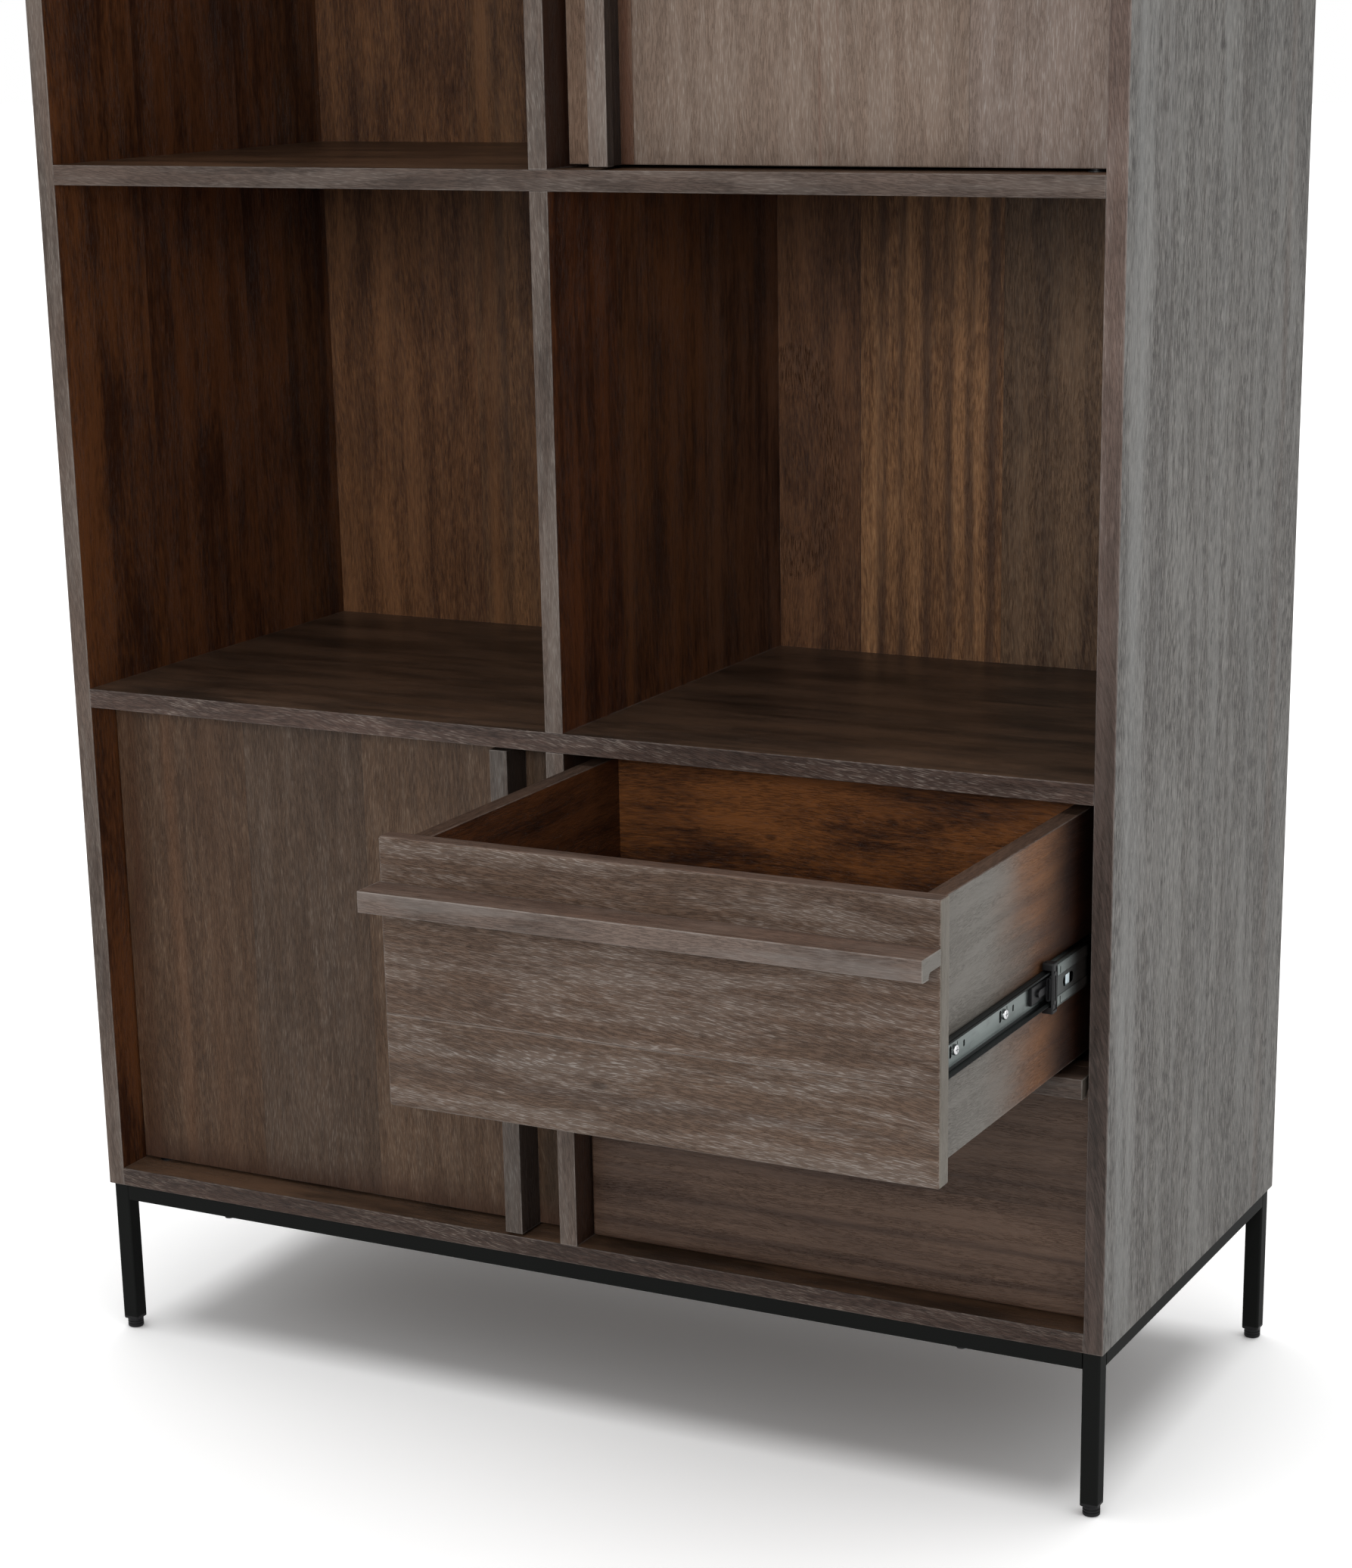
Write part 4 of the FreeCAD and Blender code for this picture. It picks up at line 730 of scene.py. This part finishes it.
def folded_sheet(name, bend, run):
    """Sheet steel folded along a bend, the same above and below, and drawn out along Y over (start, length)."""
    outline = [(u * MM, -z * MM) for u, z in reversed(bend[1:])] + [(u * MM, z * MM) for u, z in bend[1:]]
    alone()
    bpy.ops.mesh.primitive_plane_add(size=1, location=(0, 0, 0))
    piece = bpy.context.object
    piece.name = name
    bpy.ops.object.mode_set(mode="EDIT")
    bpy.ops.mesh.select_all(action="SELECT")
    bpy.ops.mesh.merge(type="CENTER")
    bpy.ops.transform.translate(value=(outline[0][0], 0, outline[0][1]))
    for start, end in zip(outline, outline[1:]):
        bpy.ops.mesh.extrude_vertices_move(TRANSFORM_OT_translate={
            "value": (end[0] - start[0], 0, end[1] - start[1])})
    bpy.ops.mesh.select_all(action="SELECT")
    bpy.ops.mesh.extrude_edges_move(TRANSFORM_OT_translate={"value": (0, run[1] * MM, 0)})
    bpy.ops.mesh.select_all(action="SELECT")
    bpy.ops.mesh.normals_make_consistent(inside=False)
    bpy.ops.object.mode_set(mode="OBJECT")
    shaped("SOLIDIFY", piece, thickness=SHEET * MM, offset=0.0, use_even_offset=True)
    piece.data.transform(Matrix.Translation((0, run[0] * MM, 0)))
    return piece


def box_tool(u, y, z):
    """Block or cutter over three (low, high) spans."""
    alone()
    bpy.ops.mesh.primitive_cube_add(size=1, location=[(low + high) / 2 * MM for low, high in (u, y, z)])
    tool = bpy.context.object
    tool.scale = [(high - low) * MM for low, high in (u, y, z)]
    bpy.ops.object.transform_apply(location=True, rotation=True, scale=True)
    return tool


def slot_tool(u, y, z, length, width, upright=False):
    """Round-ended cutter over a (low, high) span of u, lying along the slide or standing upright."""
    alone()
    low, high = u
    bpy.ops.mesh.primitive_cylinder_add(
        vertices=24, radius=width / 2 * MM, depth=(high - low) * MM,
        location=((low + high) / 2 * MM, y * MM, z * MM), rotation=(0, math.pi / 2, 0))
    tool = bpy.context.object
    bpy.ops.object.transform_apply(location=True, rotation=True, scale=True)
    axis, middle = (2, z * MM) if upright else (1, y * MM)
    for point in tool.data.vertices:
        point.co[axis] += (length - width) / 2 * MM * (1 if point.co[axis] > middle else -1)
    return tool


def cut(piece, tools):
    """Takes each cutter out of a piece, in turn."""
    for tool in tools:
        shaped("BOOLEAN", piece, object=tool, operation="DIFFERENCE", solver="EXACT")
        bpy.data.objects.remove(tool)


def cross_screw(name):
    """Pan head with a cross recess, its seat on X = 0 and its head towards -X."""
    alone()
    bpy.ops.mesh.primitive_cylinder_add(
        vertices=32, radius=HEAD * MM, depth=HEAD_HEIGHT * MM,
        location=(-HEAD_HEIGHT * MM / 2, 0, 0), rotation=(0, math.pi / 2, 0))
    head = bpy.context.object
    head.name = name
    bpy.ops.object.transform_apply(location=True, rotation=True, scale=True)
    bpy.ops.object.mode_set(mode="EDIT")
    bpy.ops.mesh.select_all(action="DESELECT")
    bpy.ops.object.mode_set(mode="OBJECT")
    for face in head.data.polygons:
        face.select = face.normal.x < -0.9
    bpy.ops.object.mode_set(mode="EDIT")
    bpy.ops.mesh.select_mode(type="FACE")
    bpy.ops.mesh.bevel(offset=HEAD_ROUND * MM, segments=5, affect="EDGES")
    bpy.ops.object.mode_set(mode="OBJECT")
    half_length, half_width, deep = CROSS
    inward = (-HEAD_HEIGHT - 1, -HEAD_HEIGHT + deep)
    long, narrow = (-half_length, half_length), (-half_width, half_width)
    cut(head, [box_tool(inward, long, narrow), box_tool(inward, narrow, long)])
    return head


def make_drawer_member(name):
    """Drawer's channel and its slots. Y = 0 is the back of the drawer's front."""
    piece = folded_sheet(name, DRAWER_BEND, DRAWER_RUN)
    through = (11, 14)
    tools = [slot_tool(through, depth + y, z, length, width, upright=True)
             for depth in SCREW_DEPTHS[:2] for y, z, length, width in SCREW_SLOTS]
    tools += [slot_tool(through, depth, 0, 14.0, 4.4) for depth in LONG_SLOTS]
    cut(piece, tools)
    return piece


def make_middle_member(name):
    """Middle channel with its window and slots. Y = 0 is the front of its end block."""
    piece = folded_sheet(name, MIDDLE_BEND, MIDDLE_RUN)
    through = (1, 4)
    window = slot_tool(through, 34, 0, 22.0, 9.0)
    slits = [slot_tool(through, 16, z, 6.0, 1.6, upright=True) for z in (-12, 12)]
    slots = [slot_tool(through, y, 0, 10.0, 4.4) for y in (100, 190, 280)]
    cut(piece, [window] + slits + slots)
    return piece


def make_stop(name):
    """Bright plate behind the middle channel's window."""
    plate = box_tool((3.2, 4.0), (31.5, 39.5), (-7, 7))
    plate.name = name
    shaped("BEVEL", plate, width=0.3 * MM, segments=3, limit_method="ANGLE")
    return plate


def make_bumper(name):
    """Moulded block on the middle channel's end: a way through for the drawer's channel and a raised loop."""
    block = box_tool((1.5, 11.2), (0, 10), (-20.4, 20.4))
    block.name = name
    shaped("BEVEL", block, width=1.2 * MM, segments=4, limit_method="ANGLE")
    way_through = box_tool((3.1, 13), (-1, 11), (-14.8, 14.8))
    recess = box_tool((0, 2.2), (1.2, 8.8), (-17.5, 17.5))
    cut(recess, [slot_tool((-1, 3), 5, 0, 27.0, 6.0, upright=True)])
    slot = slot_tool((0, 4), 5, 0, 21.0, 2.4, upright=True)
    notches = [box_tool((8.4, 13), (2.5, 4.5), z) for z in ((16.2, 22), (-22, -16.2))]
    cut(block, [way_through, recess, slot] + notches)
    loop = slot_tool((-0.1, 1.7), 0, 0, 19.0, 3.3, upright=True)
    cut(loop, [slot_tool((-1, 3), 0, 0, 16.6, 0.9, upright=True)])
    loop.data.transform(Matrix.Translation((4.9 * MM, 0, 0)) @ Matrix.Rotation(-math.pi / 2, 4, "Z"))
    alone()
    loop.select_set(True)
    block.select_set(True)
    bpy.context.view_layer.objects.active = block
    bpy.ops.object.join()
    return block


def smooth(piece):
    """Shades a piece smooth, except over its sharp edges."""
    alone()
    piece.select_set(True)
    bpy.context.view_layer.objects.active = piece
    bpy.ops.object.shade_smooth_by_angle(angle=math.radians(SMOOTH_ANGLE))


def fitted(pattern, name, wall, way, depth, height, body, material, nodes=()):
    """Copy of a pattern set in a bay: its wall's X, the way from the wall to the drawer, its depth and height."""
    piece = pattern.copy()
    piece.data = pattern.data.copy()
    piece.name = name
    bpy.context.scene.collection.objects.link(piece)
    piece.data.transform(Matrix.Translation((wall, depth, height)) @ Matrix.Scale(way, 4, (1, 0, 0)))
    if way < 0:
        piece.data.flip_normals()
    piece.data.materials.clear()
    piece.data.materials.append(material)
    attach(piece, body)
    if nodes:
        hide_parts(*nodes)


def make_slides(steel, plastic):
    bluish = stop_steel()
    patterns = [make_drawer_member("drawer_member_pattern"), make_middle_member("middle_member_pattern"),
                make_stop("stop_pattern"), make_bumper("bumper_pattern"), cross_screw("screw_pattern")]
    for pattern in patterns:
        smooth(pattern)
    drawer_member, middle_member, stop, bumper, screw = patterns
    for drawer in ("upper_drawer", "lower_drawer"):
        front_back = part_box(drawer + "_front")[1].y
        low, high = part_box(drawer + "_slide_members")
        height = (low.z + high.z) / 2
        shade_from = [front_back + behind for behind in DRAWER_SHADE_FROM]
        raced = slide_zinc(drawer + "_zinc", races=height, dark=shade_from)
        for side, way in (("left", 1), ("right", -1)):
            bay = drawer + "_" + side
            middle = bay + "_middle"
            low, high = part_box(middle + "_member")
            wall = (low.x if way > 0 else high.x) - way * MIDDLE_GAP * MM
            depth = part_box(bay + "_bumper")[0].y
            fitted(drawer_member, bay + "_channel", wall, way, front_back, height, drawer, raced,
                   [drawer + "_slide_members"])
            seat = wall + way * SCREW_SEAT * MM
            for index, screw_depth in enumerate(SCREW_DEPTHS):
                fitted(screw, "%s_screw_%d" % (bay, index), seat, way, front_back + screw_depth * MM, height, drawer,
                       steel, [drawer + "_screws"])
            shaded = slide_zinc(middle + "_zinc", band=height, dark=[depth + behind for behind in MIDDLE_SHADE_FROM])
            fitted(middle_member, middle + "_channel", wall, way, depth, height, middle, shaded,
                   [middle + "_member"])
            fitted(stop, middle + "_stop", wall, way, depth, height, middle, bluish)
            fitted(bumper, bay + "_end_block", wall, way, depth, height, middle, plastic,
                   [bay + "_bumper"])
    for pattern in patterns:
        bpy.data.objects.remove(pattern)


# --- Studio ---
WORLD_LIGHT = 0.55
FLOOR_LIT = 0.8                      # the floor's paleness, as far as its light on the object goes
FLOOR_SEEN = 1.25                    # its paleness to the camera alone


def make_world():
    world = bpy.data.worlds.new("studio")
    bpy.context.scene.world = world
    finish = Finish(world)
    dim, seen = (finish.node("ShaderNodeBackground", sockets={"Color": (1.0, 1.0, 1.0, 1.0), "Strength": strength})
                 for strength in (WORLD_LIGHT, 1.0))
    finish.node("ShaderNodeOutputWorld", sockets={"Surface": finish.by_viewer(dim, seen)})


def group(name, members, state="INCLUDE"):
    """Collection that says which objects a lamp lights or is blocked by."""
    chosen = bpy.data.collections.new(name)
    for member in members:
        chosen.objects.link(member)
    for entry in chosen.collection_objects:
        entry.light_linking.link_state = state
    return chosen


def lamp(name, kind, place, aim, power, size=None, angle=None, lights=None, blocked_by=None):
    """Area lamp of a size, or sun of an angle in degrees, that may light and be blocked by chosen objects alone."""
    light = bpy.data.lights.new(name, kind)
    light.energy = power
    if kind == "AREA":
        light.shape = "RECTANGLE"
        light.size, light.size_y = size
    else:
        light.angle = math.radians(angle)
    lit = bpy.data.objects.new(name, light)
    bpy.context.scene.collection.objects.link(lit)
    lit.location = place
    lit.rotation_euler = (Vector(aim) - Vector(place)).to_track_quat("-Z", "Y").to_euler()
    lit.light_linking.receiver_collection = lights
    lit.light_linking.blocker_collection = blocked_by


def make_floor():
    bpy.ops.mesh.primitive_plane_add(size=60.0, location=(0, 0, 0))
    floor = bpy.context.object
    floor.name = "studio_floor"
    finish = new_finish("pale_floor")
    lit, seen = (finish.node("ShaderNodeBsdfDiffuse", sockets={"Color": (paleness, paleness, paleness, 1.0)})
                 for paleness in (FLOOR_LIT, FLOOR_SEEN))
    finish.node("ShaderNodeOutputMaterial", sockets={"Surface": finish.by_viewer(lit, seen)})
    floor.data.materials.append(finish.owner)
    return floor


def make_studio():
    bpy.context.scene.view_settings.view_transform = "Standard"
    make_world()
    floor = make_floor()
    all_but_floor = group("all_but_floor", [floor], "EXCLUDE")
    floor_alone = group("floor_alone", [floor])
    still = ("side_panel", "bottom_panel", "top_panel", "shelf", "divider", "back_panel", "base")
    case = group("case_alone", [NODES[name] for name in sorted(NODES) if name.startswith(still)])
    lamp("overhead", "SUN", (0, 0, 4), (0, -0.02, 0), 1.5, angle=20, lights=all_but_floor)
    lamp("over_floor", "SUN", (0, 0, 4), (0, 0, 0), 1.85, angle=50, lights=floor_alone, blocked_by=case)
    lamp("front", "AREA", (0.9, -4.8, 2.2), (0, 0, 0.9), 115, size=(2.4, 1.6), lights=all_but_floor)
    lamp("right", "AREA", (3.4, 0.6, 1.6), (0.5, 0.15, 0.8), 30, size=(1.8, 2.4), lights=all_but_floor)


make_camera()
dress_case()
dress_doors()
dress_drawers()
dress_hardware()
make_studio()
